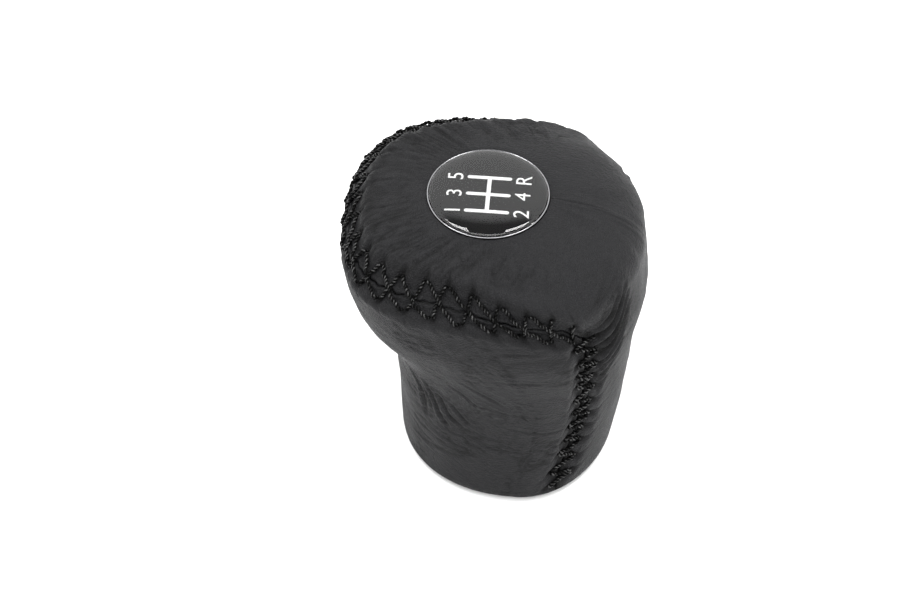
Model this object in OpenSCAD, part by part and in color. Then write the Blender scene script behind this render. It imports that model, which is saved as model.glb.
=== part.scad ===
// Gear shift knob: a leather cover laced over a rigid moulded core.
// Millimetres. Origin on the lever axis in the base plane, +Z up, +Y towards the nose.
// The outline is a loft: one plan ring for each height, each ring a rounded oval with
// its own front reach, rear reach and half width. The crown closes it as a low dome.

/* [Heights] */
// Height of the shoulder, where the crown starts
shoulder_h = 49.3; // [42:0.1:56]
// Depth of the brow below the shoulder. The nose has nearly its full reach there
brow_drop = 9.9; // [7:0.1:12]
// Depth of the flare below the shoulder, halfway out under the nose
flare_drop = 19.7; // [16:0.1:22]
// Depth of the waist below the shoulder, where the stem starts to swell
waist_drop = 32.1; // [28:0.1:35]
// Rise of the crown above the shoulder
crown_rise = 9.6; // [8:0.1:12]
// Flatness of the crown's top, 2 gives an ellipse
crown_flatness = 2.47; // [2:0.01:3]
// Rise of the crown towards the nose for each millimetre
crown_tilt = 0.022; // [0:0.001:0.04]
// How far the crown's peak lies in front of the lever axis
crown_peak_y = 3; // [1:0.1:5]

/* [Reach in front of the lever axis] */
// At the base
front_base = 20.2; // [18:0.1:22]
// At the waist
front_waist = 21.1; // [19:0.1:23]
// At the flare
front_flare = 23; // [22:0.1:26]
// At the brow
front_brow = 29.2; // [27:0.1:31]
// At the shoulder
front_shoulder = 31.7; // [29:0.1:34]

/* [Reach behind the lever axis] */
// At the base
rear_base = 18.8; // [18:0.1:22]
// At the waist
rear_waist = 21.2; // [20:0.1:23]
// At the flare
rear_flare = 22.3; // [21:0.1:25]
// At the brow
rear_brow = 24; // [22:0.1:27]
// At the shoulder
rear_shoulder = 23.3; // [21:0.1:26]

/* [Half width] */
// At the base
side_base = 21.9; // [20:0.1:23]
// At the waist
side_waist = 22; // [20:0.1:24]
// At the flare
side_flare = 23.7; // [21:0.1:25]
// At the brow
side_brow = 26.2; // [25:0.1:29]
// At the shoulder
side_shoulder = 26.6; // [25:0.1:29]

/* [Plan of the rings] */
// Place of the widest line at the base, in front of the lever axis
widest_base = -2; // [-5:0.1:0]
// Place of the widest line at half the shoulder height
widest_middle = -5.7; // [-8:0.1:0]
// Place of the widest line at the shoulder
widest_shoulder = 4.2; // [0:0.1:6]
// Squareness of the front half at the base, 2 gives an ellipse
front_square_base = 2.22; // [2:0.01:2.6]
// Squareness of the front half at the shoulder
front_square_top = 2.59; // [2:0.01:3]
// Squareness of the rear half at the base
rear_square_base = 1.95; // [1.8:0.01:3]
// Squareness of the rear half at the shoulder
rear_square_top = 2.21; // [2:0.01:3]

/* [Leather] */
// Thickness of the leather
leather_t = 1.2; // [0.9:0.05:1.4]
// Glue film between the leather and the core
glue_t = 0.1; // [0.05:0.01:0.2]
// Outer radius of the leather where it turns in under the base
hem_r = 1.9; // [1.8:0.05:2.4]
// Width of the leather turned in under the base
hem_w = 4; // [3:0.1:5]
// Height of the turned leather above the surface the knob stands on
hem_lift = 0.3; // [0.2:0.05:0.6]
// How far the padded crown swells over its seam
crown_puff = 0.3; // [0:0.05:0.6]
// Distance of the swelling's peak from the seam
puff_at = 5; // [4:0.1:7]

/* [Seams] */
// Height of the head seam above the shoulder, at the lever axis
seam_up = 2.7; // [1:0.1:4]
// Rise of the head seam towards the nose for each millimetre
seam_rise = 0.176; // [0.15:0.001:0.2]
// How far the head seam has sagged at the nose's reach from its peak
seam_sag = 8; // [4:0.1:9]
// Place along the knob from which the seam sags both ways
seam_peak_y = 5; // [3:0.5:7]
// Angle of the side seams from the nose, at the base
side_seam_base = 115.6; // [106:0.1:120]
// Angle of the side seams from the nose, at the head seam
side_seam_top = 127.3; // [122:0.1:132]
// Gap between the two panels
seam_gap = 0.6; // [0.4:0.05:0.8]
// Depth of the channel that the seam is sunk in
channel_depth = 1.1; // [0.9:0.05:1.3]
// Half width of that channel
channel_half = 3.5; // [3:0.05:3.8]
// Room under the panels' edges in the core's channel
channel_room = 0.25; // [0.2:0.05:0.4]
// Share of the channel's depth that is left at the base
channel_at_base = 0.4; // [0.2:0.05:0.45]

/* [Thread] */
// Thickness of the lacing thread
lacing_d = 0.6; // [0.4:0.05:0.8]
// Distance of the lacing holes from the middle of the seam
lacing_reach = 2.9; // [2.5:0.05:3.2]
// Distance between the lacing holes along the head seam
head_pitch = 5.4; // [4.5:0.1:6.5]
// Distance between the lacing holes along the side seams
side_pitch = 4; // [3.5:0.1:5]
// Space between two stitches at a shared hole
hole_space = 1; // [0.9:0.05:1.1]
// Clearance between the thread and the leather under it
thread_gap = 0.15; // [0.05:0.01:0.2]

/* [Badge] */
// Diameter of the badge over its bright rim
badge_d = 22; // [18:0.1:24]
// Place of the badge in front of the lever axis
badge_y = 5.1; // [3:0.1:6]
// Width of the bright rim seen from above
badge_rim_w = 0.3; // [0.2:0.05:0.5]
// Height of the rim above the leather around it
badge_rim_rise = 0.25; // [0.1:0.05:0.5]
// Thickness of the cup's floor
badge_floor_t = 0.6; // [0.4:0.05:0.8]
// Thickness of the printed disc
badge_print_t = 0.15; // [0.1:0.05:0.3]
// Thickness of the adhesive pad
badge_pad_t = 0.8; // [0.5:0.05:1]
// Rise of the lens above its rim
dome_rise = 1.1; // [0.6:0.05:1.5]
// Fullness of the lens, 2 gives an ellipse's section and more a flatter middle
dome_fullness = 3; // [2:0.1:5]
// Depth from the leather's surface down to the floor of the badge's seat
badge_seat_depth = 2.9; // [2.7:0.05:3.2]
// Clearance around the badge
badge_clear = 0.25; // [0.15:0.05:0.4]

/* [Lever insert] */
// Diameter of the wall left by an M12 x 1.5 thread
thread_bore_d = 10.5; // [10:0.1:11]
// Length of the threaded insert
insert_len = 30; // [24:0.5:34]
// Diameter of the insert
insert_d = 16; // [14:0.5:17]
// Diameter of the insert's flange
flange_d = 19; // [18:0.5:20]
// Thickness of the insert's flange
flange_t = 2.4; // [2:0.1:3]
// Depth of the insert's holding grooves
insert_groove = 0.8; // [0.5:0.1:1]
// Free depth above the insert for the end of the lever
lever_relief = 4; // [2:0.5:6]
// Width of that free space, wider than the lever's 12 mm thread
relief_d = 12.6; // [12.2:0.1:14]
// Clearance moulded around the insert
mould_gap = 0.03; // [0.02:0.01:0.05]

/* [Base cap] */
// Gap between the base cap and the edge of the turned leather
cap_gap = 0.25; // [0.15:0.05:0.4]
// Gap between pieces that are pressed face to face
seat_gap = 0.04; // [0.02:0.01:0.06]
// Diameter of the base cap's pegs
peg_d = 2.4; // [2:0.1:2.6]
// Length of the pegs above the cap's plate
peg_len = 6; // [4:0.5:8]
// Depth of the step around the cap's lower edge
cap_lip = 0.5; // [0.3:0.05:0.8]
// Diameter of the circle that the pegs stand on
peg_circle_d = 23; // [22.5:0.1:23.5]

/* [Hidden] */
// One step of a numerical slope, in degrees and in millimetres
turn_step = 0.4;
rise_step = 0.8;
// Distances from a seam at which the panels have rows and columns of points
edge_rows = [seam_gap / 2, for (share = [0.26, 0.46, 0.8, 1.29]) channel_half * share];
edge_zone = edge_rows[len(edge_rows) - 1];
front_columns = 24;
strip_columns = 11;
stem_rows = 12;
crown_rows = 6;
level_hs = [0, shoulder_h - waist_drop, shoulder_h - flare_drop, shoulder_h - brow_drop, shoulder_h];
// The rings grow squarer between these two heights
square_from = 0.25 * shoulder_h;
square_to = 0.85 * shoulder_h;
fronts = [front_base, front_waist, front_flare, front_brow, front_shoulder];
rears = [rear_base, rear_waist, rear_flare, rear_brow, rear_shoulder];
sides = [side_base, side_waist, side_flare, side_brow, side_shoulder];
base_t = hem_lift + hem_r;
core_bottom = hem_lift + leather_t + glue_t;
badge_hole_r = badge_d / 2 + badge_clear;
// Height over which the channel gets its full depth above the base
channel_fade = 6;
// How far the adhesive pad stays inside the badge's edge
pad_inset = 1.5;
// Distance of the lowest lacing holes from the hem's bend
lacing_start = 1;
// Speed of the crown's arc, so that its rows leave the shoulder at an even spacing
crown_len = 30;
crown_ease = crown_len / crown_rise * 2 / PI;

// Small functions

function ease(w) = let (c = min(1, max(0, w))) c * c * (3 - 2 * c);
function mix(a, b, w) = a + (b - a) * w;
function unit(v) = v / norm(v);
function signed_power(x, e) = sign(x) * pow(abs(x), e);

// A smooth curve through values ys at places xs
function slope_at(xs, ys, i) =
    let (a = max(i - 1, 0), b = min(i + 1, len(xs) - 1)) (ys[b] - ys[a]) / (xs[b] - xs[a]);
function span_of(xs, x, i = 0) = i >= len(xs) - 2 || x < xs[i + 1] ? i : span_of(xs, x, i + 1);
function through(xs, ys, x) =
    let (i = span_of(xs, x), h = xs[i + 1] - xs[i], w = (x - xs[i]) / h)
    (1 + 2 * w) * pow(1 - w, 2) * ys[i] + w * pow(1 - w, 2) * h * slope_at(xs, ys, i)
    + w * w * (3 - 2 * w) * ys[i + 1] + w * w * (w - 1) * h * slope_at(xs, ys, i + 1);

// The outline

// One ring: front, rear, half width, widest line, squareness in front and behind
function ring(h) =
    let (z = min(h, shoulder_h), w = ease((z - square_from) / (square_to - square_from)))
    [through(level_hs, fronts, z), through(level_hs, rears, z), through(level_hs, sides, z),
     through([0, shoulder_h / 2, shoulder_h], [widest_base, widest_middle, widest_shoulder], z),
     mix(front_square_base, front_square_top, w), mix(rear_square_base, rear_square_top, w)];
function ring_point(r, turn) =
    let (c = cos(turn), n = c >= 0 ? r[4] : r[5], reach = c >= 0 ? r[0] - r[3] : r[1] + r[3])
    [r[2] * signed_power(sin(turn), 2 / n), r[3] + reach * signed_power(c, 2 / n)];

// Angle of the crown's arc at a distance past the shoulder, and back
function crown_angle(past) = 90 * (1 - pow(max(0, 1 - past / crown_len), crown_ease));
function crown_past(angle) = crown_len * (1 - pow(1 - angle / 90, 1 / crown_ease));

// A point of the outline. t is the height up to the shoulder, and the distance beyond it
function outline(turn, t) =
    let (p = ring_point(ring(t), turn), a = t > shoulder_h ? crown_angle(t - shoulder_h) : 0,
         s = pow(cos(a), 2 / crown_flatness), y = mix(crown_peak_y, p.y, s),
         z = min(t, shoulder_h) + crown_rise * sin(a))
    [p.x * s, y, z + crown_tilt * y * min(1, z / shoulder_h)];
function outward(turn, t) =
    unit(cross(outline(turn, t + rise_step) - outline(turn, t - rise_step),
               outline(turn + turn_step, t) - outline(turn - turn_step, t)));

// The seams

function seam_t(turn) =
    let (y = ring_point(ring(shoulder_h), turn).y,
         up = seam_up + seam_rise * y - seam_sag * pow((y - seam_peak_y) / front_shoulder, 2))
    up <= 0 ? shoulder_h + up : shoulder_h + crown_past(asin(up / crown_rise));
corner_t = seam_t(side_seam_top);
function side_turn(t) = mix(side_seam_base, side_seam_top, min(1, t / corner_t));
// Degrees of turn for one millimetre along the ring at the side seam
function turn_per_mm(t) =
    let (a = side_turn(t))
    2 * turn_step / norm(outline(a + turn_step, t) - outline(a - turn_step, t));
// Distance of a point from the nearest seam
function seam_distance(p, turn, t) =
    let (a = abs(turn > 180 ? turn - 360 : turn), low = min(t, corner_t), on_front = a < side_turn(low),
         side = norm([abs(p.x), p.y, p.z] - outline(side_turn(low), low)),
         head = on_front ? norm(p - outline(turn, seam_t(turn))) : 1000)
    on_front && t > seam_t(turn) ? head : min(side, head);
function above_seam(turn, t) = abs(turn > 180 ? turn - 360 : turn) < side_seam_top && t > seam_t(turn);

// Depth of the seam channel, and height of the crown's swelling, at a distance from the seam
function channel(d, t, room) =
    (channel_depth + room) * mix(channel_at_base, 1, ease((t - base_t) / channel_fade))
    * (1 - ease((d - seam_gap) / (channel_half - seam_gap)));
function puff(d) = d > 2 * puff_at ? 0 : crown_puff * pow(sin(90 * d / puff_at), 2);

// A point of a layer that lies a distance below the outline, with the channel pressed in
function layer(turn, t, below, room = 0) =
    let (p = outline(turn, t), d = seam_distance(p, turn, t),
         out = below == 0 && above_seam(turn, t) ? puff(d) : 0)
    p + outward(turn, t) * (out - below - channel(d, t, room));
// The same under the base: around the hem's bend by an angle, then inwards along the flap
function hem_layer(turn, bend, inwards, below, room) =
    let (p = outline(turn, base_t), n = outward(turn, base_t), side = unit([n.x, n.y, 0]),
         d = seam_distance(p, turn, base_t), sunk = inwards > 0 ? 0 : channel(d, base_t, room),
         r = hem_r - below - sunk)
    [p.x, p.y, base_t] + side * (r * cos(bend) - hem_r - inwards) - [0, 0, r * sin(bend)];

// Rows and columns

edge_back = [for (i = [len(edge_rows) - 1:-1:0]) edge_rows[i]];
// A column is a side, a share of the open stretch and a distance from the seam
columns = concat(
    [for (e = edge_rows) ["front", -1, e]],
    [for (i = [1:front_columns - 1]) ["front", 2 * i / front_columns - 1, edge_zone]],
    [for (e = edge_back) ["front", 1, e]],
    [for (e = edge_rows) ["strip", -1, e]],
    [for (i = [1:strip_columns - 1]) ["strip", 2 * i / strip_columns - 1, edge_zone]],
    [for (e = edge_back) ["strip", 1, e]]);
column_count = len(columns);
skirt_count = 2 * len(edge_rows) + front_columns - 1;
strip_count = column_count - skirt_count;
function column_turn(c, t) =
    let (k = columns[c], a = side_turn(t), back = k[2] * turn_per_mm(min(t, corner_t)))
    k[0] == "front" ? k[1] * (a - back) : 180 + k[1] * (180 - a - back);

// Stem rows climb to the lower edge of the head seam, crown rows leave its upper edge
stem_count = 3 + stem_rows + len(edge_rows);
crown_count = len(edge_rows) + crown_rows;
function stem_t(c, row) =
    let (top = seam_t(column_turn(c, corner_t)))
    row <= stem_rows ? mix(base_t, top - edge_zone, row / stem_rows)
                     : top - edge_back[row - stem_rows];
// The badge's hole cuts each column of the crown where its plan meets the circle
function hole_t(turn) =
    let (p = ring_point(ring(shoulder_h), turn) - [0, crown_peak_y], q = crown_peak_y - badge_y,
         a = p * p, b = p.y * q, c = q * q - pow(badge_hole_r, 2),
         s = (-b + sqrt(b * b - a * c)) / a)
    shoulder_h + crown_past(acos(pow(s, crown_flatness / 2)));
function crown_t(c, row) =
    let (turn = column_turn(c, corner_t), low = seam_t(turn), n = len(edge_rows) - 1)
    row <= n ? low + edge_rows[row] : mix(low + edge_zone, hole_t(turn), (row - n) / (crown_count - 1 - n));

function stem_points(first, count, below, room = 0) =
    [for (row = [0:stem_count - 1]) for (c = [first:first + count - 1])
        let (base_turn = column_turn(c, base_t), t = stem_t(c, row - 3))
        row == 0 ? hem_layer(base_turn, 90, hem_w, below, room)
        : row < 3 ? hem_layer(base_turn, 90 - 45 * (row - 1), 0, below, room)
        : layer(column_turn(c, t), t, below, room)];
// The last row lies straight below the hole's edge, so that the hole keeps its width
function crown_points(below, room = 0) =
    [for (row = [0:crown_count - 1]) for (c = [0:column_count - 1])
        let (turn = column_turn(c, corner_t), t = crown_t(c, row))
        row < crown_count - 1 ? layer(turn, t, below, room)
        : outline(turn, t) - [0, 0, below / outward(turn, t).z]];

// Faces of a net of rows and columns. A cell is two triangles, seen clockwise from outside
function cell(a, b, c, d) = [[a, b, c], [a, c, d]];
function net(rows, count, start = 0) =
    [for (r = [0:rows - 2]) for (c = [0:count - 2])
        let (k = start + r * count + c) each cell(k, k + 1, k + count + 1, k + count)];
function closed_net(rows, count, start = 0) =
    concat(net(rows, count, start),
           [for (r = [0:rows - 2]) let (k = start + r * count)
               each cell(k + count - 1, k, k + count, k + 2 * count - 1)]);
function flipped(faces) = [for (f = faces) [f[2], f[1], f[0]]];
function shifted(faces, by) = [for (f = faces) [for (i = f) i + by]];
// Walls between an outer and an inner layer, along a closed run of outer points
function walls(run, by) =
    [for (i = [0:len(run) - 1]) let (a = run[i], b = run[(i + 1) % len(run)])
        each cell(a, a + by, b + by, b)];

// The covering

module core() {
    below = leather_t + glue_t;
    stem = stem_points(0, column_count, below, channel_room);
    crown = crown_points(below, channel_room);
    rim = [for (c = [0:column_count - 1])
        let (p = crown[(crown_count - 1) * column_count + c]) [p.x, p.y, badge_seat_z(p.y)]];
    rows = stem_count + crown_count + 1;
    floor_ring = [for (c = [0:column_count - 1]) c];
    seat_ring = [for (c = [column_count - 1:-1:0]) (rows - 1) * column_count + c];
    color("dimgray")
        difference() {
            polyhedron(concat(stem, crown, rim),
                       concat(closed_net(rows, column_count), [floor_ring, seat_ring]));
            insert_form(mould_gap);
            translate([0, 0, insert_len])
                cylinder(h = lever_relief, d = relief_d, $fn = 96);
            pegs(core_bottom - 1, peg_len + 1 + peg_end_gap, peg_d + 2 * seat_gap);
        }
}

module skirt_leather() {
    outer = stem_points(0, skirt_count, 0);
    inner = stem_points(0, skirt_count, leather_t);
    faces = net(stem_count, skirt_count);
    last = stem_count - 1;
    edge = concat(
        [for (c = [0:skirt_count - 1]) c],
        [for (r = [1:last]) r * skirt_count + skirt_count - 1],
        [for (c = [skirt_count - 2:-1:0]) last * skirt_count + c],
        [for (r = [last - 1:-1:1]) r * skirt_count]);
    color([0.2, 0.2, 0.21])
        polyhedron(concat(outer, inner),
                   concat(faces, shifted(flipped(faces), len(outer)), walls(edge, len(outer))));
}

// One panel: the crown, and the strip that runs on from it down the back to the base
module crown_leather() {
    outer = concat(stem_points(skirt_count, strip_count, 0), crown_points(0));
    inner = concat(stem_points(skirt_count, strip_count, leather_t), crown_points(leather_t));
    start = stem_count * strip_count;
    top_row = (stem_count - 1) * strip_count;
    joining = [for (c = [0:strip_count - 2])
        each cell(top_row + c, top_row + c + 1, start + skirt_count + c + 1, start + skirt_count + c)];
    faces = concat(net(stem_count, strip_count), joining,
                   closed_net(crown_count, column_count, start));
    edge = concat(
        [for (c = [0:strip_count - 1]) c],
        [for (r = [1:stem_count - 1]) r * strip_count + strip_count - 1],
        [start + column_count - 1],
        [for (c = [0:skirt_count]) start + c],
        [for (r = [stem_count - 1:-1:1]) r * strip_count]);
    hole = [for (c = [column_count - 1:-1:0]) start + (crown_count - 1) * column_count + c];
    color([0.22, 0.22, 0.23])
        polyhedron(concat(outer, inner),
                   concat(faces, shifted(flipped(faces), len(outer)),
                          walls(edge, len(outer)), walls(hole, len(outer))));
}

// The thread

// One stitch: a short rod of thread with round ends, from one place to another
module stitch(from, to) {
    way = to - from;
    translate(from)
        rotate([0, acos(way.z / norm(way)), atan2(way.y, way.x)])
            union() {
                cylinder(h = norm(way), d = lacing_d, $fn = 24);
                sphere(d = lacing_d, $fn = 24);
                translate([0, 0, norm(way)]) sphere(d = lacing_d, $fn = 24);
            }
}

// Places along the head seam and the side seam, by their length
path_steps = 60;
head_turns = [for (i = [0:path_steps]) mix(-side_seam_top, side_seam_top, i / path_steps)];
side_ts = [for (i = [0:path_steps]) mix(base_t, corner_t, i / path_steps)];
function run_lengths(points, i = 0, so_far = 0) =
    i == len(points) ? []
    : let (s = i == 0 ? 0 : so_far + norm(points[i] - points[i - 1]))
      concat([s], run_lengths(points, i + 1, s));
head_lengths = run_lengths([for (a = head_turns) outline(a, seam_t(a))]);
side_lengths = run_lengths([for (t = side_ts) outline(side_turn(t), t)]);
head_table = [for (i = [0:path_steps]) [head_lengths[i], head_turns[i]]];
side_table = [for (i = [0:path_steps]) [side_lengths[i], side_ts[i]]];
head_run = head_lengths[path_steps] - 2 * lacing_reach;
side_run = side_lengths[path_steps] - lacing_reach - lacing_start;

// A place on the leather at a length along a seam, a distance across it and a lift above it
function lifted(turn, t, lift) = layer(turn, t, 0) + outward(turn, t) * lift;
function head_place(s, across, lift) =
    let (a = lookup(s + lacing_reach, head_table)) lifted(a, seam_t(a) + across, lift);
function side_place(s, across, lift) =
    let (t = lookup(s + lacing_start, side_table)) lifted(side_turn(t) + across * turn_per_mm(t), t, lift);

lacing_lift = lacing_d / 2 + thread_gap;
function count_of(run, pitch) = floor(run / pitch);
function start_of(run, pitch) = (run - count_of(run, pitch) * pitch) / 2;

// The lacing goes across the seam and back once for each pitch
module head_lacing() {
    n = count_of(head_run, head_pitch);
    color([0.08, 0.08, 0.08])
        for (i = [0:n - 1]) {
            s = start_of(head_run, head_pitch) + i * head_pitch;
            low = s + hole_space / 2;
            high = s + head_pitch / 2 - hole_space / 2;
            stitch(head_place(low, -lacing_reach, lacing_lift),
                   head_place(high, lacing_reach, lacing_lift));
            stitch(head_place(high + hole_space, lacing_reach, lacing_lift),
                   head_place(s + head_pitch - hole_space / 2, -lacing_reach, lacing_lift));
        }
}
module right_lacing() {
    n = count_of(side_run, side_pitch);
    color([0.08, 0.08, 0.08])
        for (i = [0:n - 1]) {
            s = start_of(side_run, side_pitch) + i * side_pitch;
            low = s + hole_space / 2;
            high = s + side_pitch / 2 - hole_space / 2;
            stitch(side_place(low, -lacing_reach, lacing_lift),
                   side_place(high, lacing_reach, lacing_lift));
            stitch(side_place(high + hole_space, lacing_reach, lacing_lift),
                   side_place(s + side_pitch - hole_space / 2, -lacing_reach, lacing_lift));
        }
}
module left_lacing() {
    mirror([1, 0, 0]) right_lacing();
}

// The badge

// Its seat follows the crown: the rim of the hole gives its height and its tilt
hole_front = outline(0, hole_t(0));
hole_rear = outline(180, hole_t(180));
hole_side = outline(90, hole_t(90));
badge_slope = (hole_front.z - hole_rear.z) / (hole_front.y - hole_rear.y);
badge_z = (hole_front.z + hole_rear.z + 2 * hole_side.z) / 4;
function badge_seat_z(y) = badge_z - badge_seat_depth + badge_slope * (y - badge_y);
badge_r = badge_d / 2;
pad_low = seat_gap - badge_seat_depth;
cup_low = pad_low + badge_pad_t + seat_gap;
print_low = cup_low + badge_floor_t + seat_gap;
dome_low = print_low + badge_print_t + seat_gap;
dome_r = badge_r - badge_rim_w - seat_gap;

module at_badge(z) {
    translate([0, badge_y, badge_z]) rotate([atan(badge_slope), 0, 0]) translate([0, 0, z]) children();
}
module badge_pad() {
    color([0.15, 0.15, 0.15])
        at_badge(pad_low) cylinder(h = badge_pad_t, r = badge_r - pad_inset, $fn = 96);
}
module badge_cup() {
    color("silver")
        at_badge(cup_low)
            difference() {
                cylinder(h = badge_rim_rise - cup_low, r = badge_r, $fn = 96);
                translate([0, 0, badge_floor_t])
                    cylinder(h = badge_rim_rise - cup_low, r = badge_r - badge_rim_w, $fn = 96);
            }
}
module badge_print() {
    color([0.03, 0.03, 0.03])
        at_badge(print_low) cylinder(h = badge_print_t, r = dome_r, $fn = 96);
}
// The lens: straight up to the rim, then a bulge that is flat in the middle and steep at its edge
module badge_dome() {
    edge_z = badge_rim_rise - dome_low;
    color([0.85, 0.88, 0.9, 0.4])
        at_badge(dome_low)
            rotate_extrude($fn = 96)
                polygon(concat(
                    [[0, 0], [dome_r, 0]],
                    [for (a = [0:10:90])
                        [dome_r * pow(cos(a), 2 / dome_fullness), edge_z + dome_rise * sin(a)]]));
}

// The lever's socket and the base

hex_low = flange_t + (insert_len - flange_t) / 3;
hex_high = flange_t + (insert_len - flange_t) * 2 / 3;
groove_len = 2.5;
peg_end_gap = 0.5;

// The outside of the insert, grown by a clearance where it is cut out of the core
module insert_form(grow) {
    translate([0, 0, -grow]) cylinder(h = flange_t + 2 * grow, d = flange_d + 2 * grow, $fn = 96);
    cylinder(h = hex_low - groove_len + grow, d = insert_d + 2 * grow, $fn = 96);
    cylinder(h = hex_high + groove_len + grow, d = insert_d - 2 * insert_groove + 2 * grow, $fn = 96);
    translate([0, 0, hex_low - grow])
        cylinder(h = hex_high - hex_low + 2 * grow, d = insert_d + 2 * grow, $fn = 6);
    translate([0, 0, hex_high + groove_len - grow])
        cylinder(h = insert_len - hex_high - groove_len + 2 * grow, d = insert_d + 2 * grow, $fn = 96);
}
module lever_insert() {
    color("lightsteelblue")
        difference() {
            insert_form(0);
            translate([0, 0, -1]) cylinder(h = insert_len + 2, d = thread_bore_d, $fn = 96);
        }
}
module pegs(z, h, d) {
    for (a = [45:90:315])
        rotate(a) translate([peg_circle_d / 2, 0, z]) cylinder(h = h, d = d, $fn = 48);
}
function cap_outline(inset) =
    [for (c = [0:column_count - 1])
        let (a = column_turn(c, base_t), p = outline(a, base_t), n = outward(a, base_t))
        [p.x, p.y] - unit([n.x, n.y]) * (hem_r + hem_w + cap_gap + inset)];
// The closing cap fills the space inside the turned leather and is pressed in by its pegs
module base_cap() {
    plate = core_bottom - seat_gap;
    color([0.12, 0.12, 0.13])
        difference() {
            union() {
                translate([0, 0, cap_lip]) linear_extrude(height = plate - cap_lip) polygon(cap_outline(0));
                linear_extrude(height = plate) polygon(cap_outline(cap_lip));
                pegs(plate / 2, plate / 2 + peg_len, peg_d);
            }
            translate([0, 0, -1]) cylinder(h = plate + 2, d = flange_d + 2 * cap_gap, $fn = 96);
        }
}

core();
lever_insert();
base_cap();
skirt_leather();
crown_leather();
head_lacing();
left_lacing();
right_lacing();
badge_pad();
badge_cup();
badge_print();
badge_dome();
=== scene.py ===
# %% [markdown]
# # A leather gear shift knob
# The real knob is a hard moulded core with two panels of black leather laced over it, and a
# round badge let into its crown. Blender does the looks here: it dresses a finished CAD model.

# %% The frame
import math

import bpy
import numpy as np
from mathutils import Matrix


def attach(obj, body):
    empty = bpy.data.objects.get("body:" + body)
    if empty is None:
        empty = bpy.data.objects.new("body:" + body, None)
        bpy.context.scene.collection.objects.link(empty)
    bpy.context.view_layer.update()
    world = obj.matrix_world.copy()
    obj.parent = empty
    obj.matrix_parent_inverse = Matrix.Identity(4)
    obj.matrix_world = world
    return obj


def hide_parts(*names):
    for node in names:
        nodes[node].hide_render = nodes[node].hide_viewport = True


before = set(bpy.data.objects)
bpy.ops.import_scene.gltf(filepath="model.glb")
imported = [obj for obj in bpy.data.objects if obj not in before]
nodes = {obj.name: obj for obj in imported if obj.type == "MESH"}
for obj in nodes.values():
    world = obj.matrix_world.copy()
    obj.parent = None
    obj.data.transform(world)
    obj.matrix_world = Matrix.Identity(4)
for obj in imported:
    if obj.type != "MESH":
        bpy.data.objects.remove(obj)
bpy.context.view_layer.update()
MM = 0.001


def add_object(name, data):
    made = bpy.data.objects.new(name, data)
    bpy.context.scene.collection.objects.link(made)
    return made


print("the frame holds", sorted(nodes))

# %% [markdown]
# ## The camera
# The photograph was taken from the knob's left, looking down by 47 degrees from almost a metre
# away through a long lens, so parallel edges stay nearly parallel. The place and the turn of
# the camera come first, because the look of every piece is judged through it.

# %% Camera
photo_w = 920
cam_turn, cam_height, cam_roll = math.radians(273.995), math.radians(47.302), math.radians(0.677)
cam_away, cam_focal = 860.052, 4704.946  # millimetres, pixels
aim = np.array([0, 0, 30.0])
aim_px = np.array([54.164, -2.396])

back = np.array([math.sin(cam_turn) * math.cos(cam_height), -math.cos(cam_turn) * math.cos(cam_height),
                 math.sin(cam_height)])
level = np.cross(-back, [0, 0, 1])
level /= np.linalg.norm(level)
upright = np.cross(level, -back)
across = level * math.cos(cam_roll) + upright * math.sin(cam_roll)
upward = -level * math.sin(cam_roll) + upright * math.cos(cam_roll)
eye = aim + back * cam_away + (upward * aim_px[1] - across * aim_px[0]) * cam_away / cam_focal


def stance(x, y, z, place):
    """The matrix that turns an object to three axes and stands it at a place in metres"""
    return Matrix([[x[i], y[i], z[i], place[i]] for i in range(3)] + [[0, 0, 0, 1]])


camera = add_object("camera", bpy.data.cameras.new("camera"))
camera.data.sensor_width = 36
camera.data.lens = cam_focal / photo_w * camera.data.sensor_width
camera.data.clip_start, camera.data.clip_end = 0.05, 20
camera.matrix_world = stance(across, upward, back, eye * MM)
bpy.context.scene.camera = camera
print("the lens is", round(camera.data.lens, 1), "mm and stands at", np.round(eye * MM, 3))

# %% [markdown]
# ## The outline
# The leather follows the core, and the core is a loft: at each height there is one plan ring, a
# rounded oval that is squarer in front than behind, and a low dome closes the top. The same
# rule and the same sizes make the solid model, so the leather made here lies exactly on it.
# Working from the rule rather than from a mesh lets the leather be as fine as it needs to be.

# %% Sizes of the outline, in millimetres
shoulder_h, waist_drop, flare_drop, brow_drop = 49.3, 32.1, 19.7, 9.9
crown_rise, crown_flatness, crown_tilt, crown_peak_y = 9.6, 2.47, 0.022, 3
fronts = [20.2, 21.1, 23, 29.2, 31.7]
rears = [18.8, 21.2, 22.3, 24, 23.3]
sides = [21.9, 22, 23.7, 26.2, 26.6]
widest = [-2, -5.7, 4.2]
square_front, square_rear = (2.22, 2.59), (1.95, 2.21)
square_from, square_to = 0.25 * shoulder_h, 0.85 * shoulder_h
leather_t, hem_r, hem_w, hem_lift = 1.2, 1.9, 4, 0.3
base_t = hem_lift + hem_r
crown_len = 30
crown_ease = crown_len / crown_rise * 2 / math.pi
levels = [0, shoulder_h - waist_drop, shoulder_h - flare_drop, shoulder_h - brow_drop, shoulder_h]
print("the shoulder is", shoulder_h, "mm up, and the dome rises", crown_rise, "mm more")

# %% Smooth steps and curves


def ease(w):
    """A soft step from 0 to 1"""
    c = np.clip(w, 0, 1)
    return c * c * (3 - 2 * c)


def step_down(d, start, width):
    return 1 - ease((d - start) / width)


def mix(a, b, w):
    return a + (b - a) * w


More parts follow.
